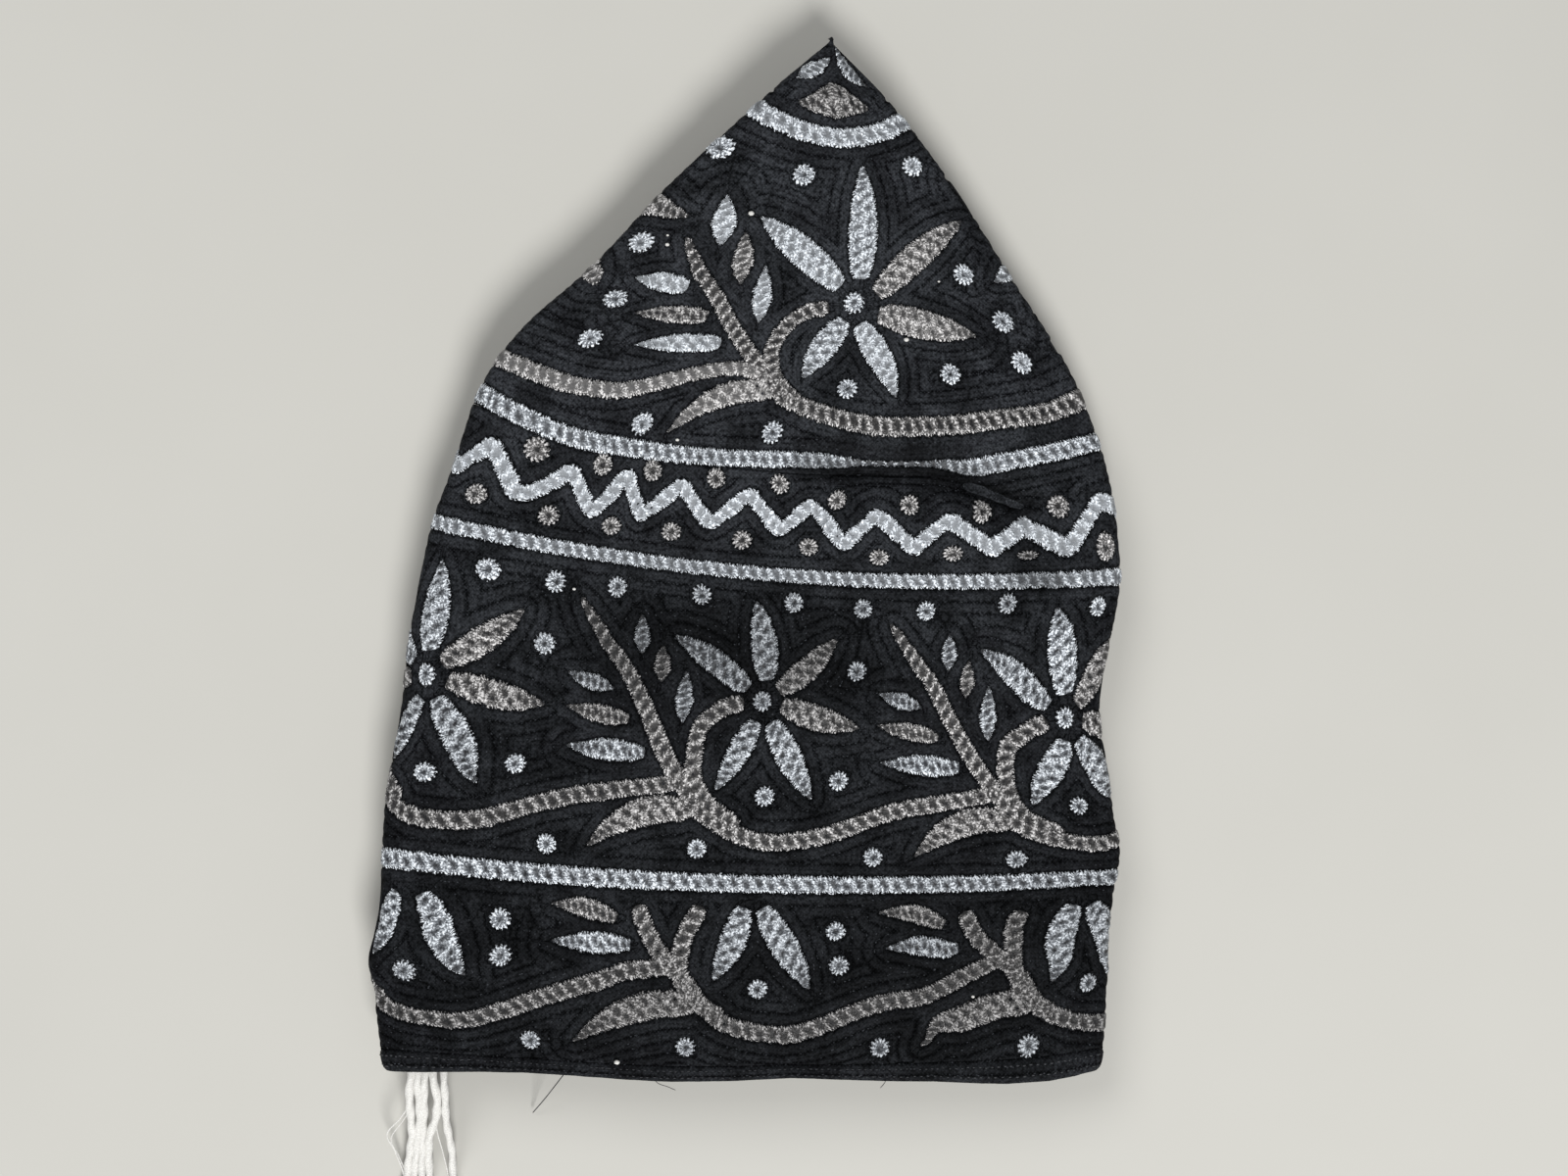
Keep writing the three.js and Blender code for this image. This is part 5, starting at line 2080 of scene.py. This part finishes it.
@dataclass
class LooseEnds:
    """The bare strands that hang out of the rim, and the fluff on the cloth."""

    cap: FoldedCap
    step: float = 0.42
    floor_gap: float = 0.02
    weld: float = 0.001
    fleck_shape: tuple[float, float, float] = (1.1, 0.85, 0.7)

    def add_strand(self, mesh: bmesh.types.BMesh, strand: Strand) -> None:
        """Adds one strand as a closed, twisted tube.

        Args:
            mesh: The mesh.
            strand: The strand.
        """
        path = smooth_path(strand.path)
        path = evenly(path, 2 + int(lengths(path)[-1] / self.step))
        ahead = np.gradient(path, axis=0)
        ahead /= np.linalg.norm(ahead, axis=1, keepdims=True)
        side = np.cross((0, 0, 1), ahead)
        side /= np.linalg.norm(side, axis=1, keepdims=True)
        up = np.cross(ahead, side)
        along = lengths(path)
        angle = np.linspace(0, math.tau, strand.sides + 1)[None, :] + 0 * along[:, None]
        spin = (math.tau * along / strand.twist if strand.twist else 0 * along)[:, None]
        radius = strand.radius * (1 - strand.ply + strand.ply * np.cos(2 * angle - spin))
        radius[[0, -1]] = 0
        offset = side[:, None, :] * np.cos(angle)[:, :, None] + up[:, None, :] * np.sin(angle)[:, :, None]
        places = path[:, None, :] + offset * radius[:, :, None]
        places[:, :, 2] = np.maximum(places[:, :, 2], self.floor_gap)
        add_grid(mesh, places * MM, {})

    def strands(self, name: str, strands: Iterable[Strand], material: bpy.types.Material) -> bpy.types.Object:
        """Builds several strands.

        Args:
            name: The name of their piece.
            strands: The strands.
            material: Their yarn.

        Returns:
            The strands as one piece.
        """
        mesh = new_mesh()
        for strand in strands:
            self.add_strand(mesh, strand)
        bmesh.ops.remove_doubles(mesh, verts=mesh.verts, dist=self.weld * MM)
        return finish_piece(mesh, name, material)

    def flecks(self, material: bpy.types.Material) -> bpy.types.Object:
        """Builds the specks of fluff.

        Args:
            material: Their fibre.

        Returns:
            The specks as one piece.
        """
        mesh = new_mesh()
        cloth, turn, radii = np.array(FLECKS).T
        for place, radius in zip(self.cap.place(cloth, turn, self.cap.wall / 2 + radii), radii):
            made = bmesh.ops.create_icosphere(mesh, subdivisions=1, radius=radius * MM)
            bmesh.ops.scale(mesh, verts=made["verts"], vec=self.fleck_shape)
            bmesh.ops.translate(mesh, verts=made["verts"], vec=place)
        return finish_piece(mesh, "white_flecks", material)


@dataclass(frozen=True)
class Lamp:
    """A round soft light that faces the cap, placed and sized in metres, its power in watts."""

    name: str
    place: tuple[float, float, float]
    size: float
    power: float


@dataclass(frozen=True)
class Stage:
    """The floor, the soft light and the camera that looks straight down."""

    floor_size: float = 3.0
    sky_colour: tuple[float, ...] = (0.94, 0.97, 1.0, 1)
    sky_strength: float = 0.3
    lamps: tuple[Lamp, ...] = (
        Lamp("key_light", (0.3, -1.2, 1.35), 0.7, 38.0),
        Lamp("fill_light", (-0.7, 0.9, 1.4), 1.0, 14.0),
    )
    eye: tuple[float, float, float] = (6.94, 10.36, 433.0)
    sensor: float = 36.0
    lens: float = 51.08

    def build(self) -> None:
        """Adds the floor, the lights and the camera."""
        self.add_floor()
        world = bpy.data.worlds.new("studio")
        world.use_nodes = True
        background = world.node_tree.nodes["Background"]
        background.inputs["Color"].default_value = self.sky_colour
        background.inputs["Strength"].default_value = self.sky_strength
        bpy.context.scene.world = world
        bpy.context.scene.view_settings.view_transform = "Standard"
        for lamp in self.lamps:
            self.add_lamp(lamp)
        self.add_camera()

    def add_floor(self) -> None:
        """The plain floor, which isn't part of the cap."""
        mesh = new_mesh()
        bmesh.ops.create_grid(mesh, x_segments=1, y_segments=1, size=self.floor_size)
        finish_piece(mesh, "floor", FloorFinish().build())

    @staticmethod
    def add_lamp(lamp: Lamp) -> None:
        """Adds one of the soft lights.

        Args:
            lamp: The light.
        """
        light = bpy.data.lights.new(lamp.name, "AREA")
        light.shape = "DISK"
        light.size = lamp.size
        light.energy = lamp.power
        holder = bpy.data.objects.new(lamp.name, light)
        holder.location = lamp.place
        holder.rotation_euler = (-Vector(lamp.place)).to_track_quat("-Z", "Y").to_euler()
        bpy.context.scene.collection.objects.link(holder)

    def add_camera(self) -> None:
        """The camera, where the photo was taken from."""
        data = bpy.data.cameras.new("camera")
        data.sensor_width = self.sensor
        data.sensor_fit = "HORIZONTAL"
        data.lens = self.lens
        camera = bpy.data.objects.new("camera", data)
        camera.location = [value * MM for value in self.eye]
        bpy.context.scene.collection.objects.link(camera)
        bpy.context.scene.camera = camera


SILVER_THREAD = ThreadFinish(
    "silver_thread", (0.89, 0.94, 0.99, 1), (0.115, 0.125, 0.141, 1), (0.029, 0.032, 0.0385, 1), hole=0.6
)
TAUPE_THREAD = ThreadFinish(
    "taupe_thread",
    (0.728, 0.71, 0.7, 1), (0.0655, 0.062, 0.0605, 1), (0.0112, 0.01, 0.0096, 1),
    hole=0.7,
    glint=0.07,
    contrast=1.45,
    # Its painted shade towards the rim reaches a little higher up.
    painted_light=(-72.0, -40.0, 0.69, 1.0),
)
HEM_THREAD = BlackThreadFinish("hem_thread", (0.045, 0.047, 0.052, 1), (0.01, 0.0105, 0.012, 1))
# How the eyelets of each kind of embroidery differ from the thread's usual ones.
EYELET_LOOKS = {
    "line": {"period": 4.6},
    "petal": {"period": 2.7, "hole": 0.5},
    "dot": {"period": 60.0, "hole": 0.5, "lean": 0.0, "squash": 0.9},
}
# Painted sheen: pieces whose thread is painted lighter where light catches their stitches, by the share of
# the way to the thread's lightest.
PAINTED_SHEEN = {
    "lower_line": 0.06,
    "upper_line": 0.18,
    "zigzag": 0.25,
    "crown_silver_petals": 0.22,
    "crown_taupe_vines": 0.13,
    "crown_dots": 0.1,
    "apex_ring": 0.14,
    "apex_silver_petals": 0.1,
    "crown_line": 0.12,
    "crown_taupe_petals": 0.1,
}


def main() -> None:
    """Builds the cap and its stage, piece by piece."""
    logging.basicConfig(level=logging.INFO, format="%(name)s: %(message)s")
    Stage().build()
    groups = SharedGroups(eyelet_group(), weave_group(), quilt_group())
    kuma = KumaCap(FoldedCap())
    cloth = ClothFinish("black_quilted_cotton").build(groups)
    band = kuma.side_band(cloth)
    crown = kuma.crown(cloth)
    threads = {}
    for finish in (SILVER_THREAD, TAUPE_THREAD):
        for kind, look in EYELET_LOOKS.items():
            made = replace(finish, name=f"{finish.name}_{kind}", **look)
            threads[finish.name.split("_")[0], kind] = (made.build(groups), made.period)
    work = []
    for pattern in (kuma.band_pattern, kuma.line_pattern, kuma.crown_pattern):
        for name in (*pattern.strips, *pattern.dots):
            colour = "taupe" if "taupe" in name or name == "zigzag_dots" else "silver"
            kind = "petal" if name.endswith("petals") else "dot" if name.endswith("dots") else "line"
            material, period = threads[colour, kind]
            # Some pieces get painted sheen on their thread.
            work.append(kuma.embroider(name, pattern, material, period, PAINTED_SHEEN.get(name, 0.0)))
    hem = Hem(kuma.cap, kuma.columns(*kuma.band_columns))
    # The hem has its own painted light and shade up the cap, and shallower quilting bumps.
    hem_cloth = ClothFinish("black_hem_cotton", depth=0.12, painted_light=(-80.0, 75.0, 0.8, 1.6)).build(groups)
    roll = hem.roll(hem_cloth)
    stitches = hem.stitches(HEM_THREAD.build(), kuma.book.band_map)
    ends = LooseEnds(kuma.cap)
    yarns = ends.strands("white_yarns", WHITE_YARNS, YarnFinish("white_yarn").build())
    hairs = ends.strands("dark_hairs", DARK_HAIRS, BlackThreadFinish("dark_hair").build())
    flecks = ends.flecks(YarnFinish("white_fluff").build())
    slots = {"cloth": (band, crown), "hem": (roll, stitches), "yarn": (*work, yarns, hairs, flecks)}
    for slot, pieces in slots.items():
        for piece in pieces:
            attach(piece, BODY)
    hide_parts("side_band")
    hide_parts("crown")
    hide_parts("hem")
    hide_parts("loose_threads")


if __name__ == "__main__":
    main()
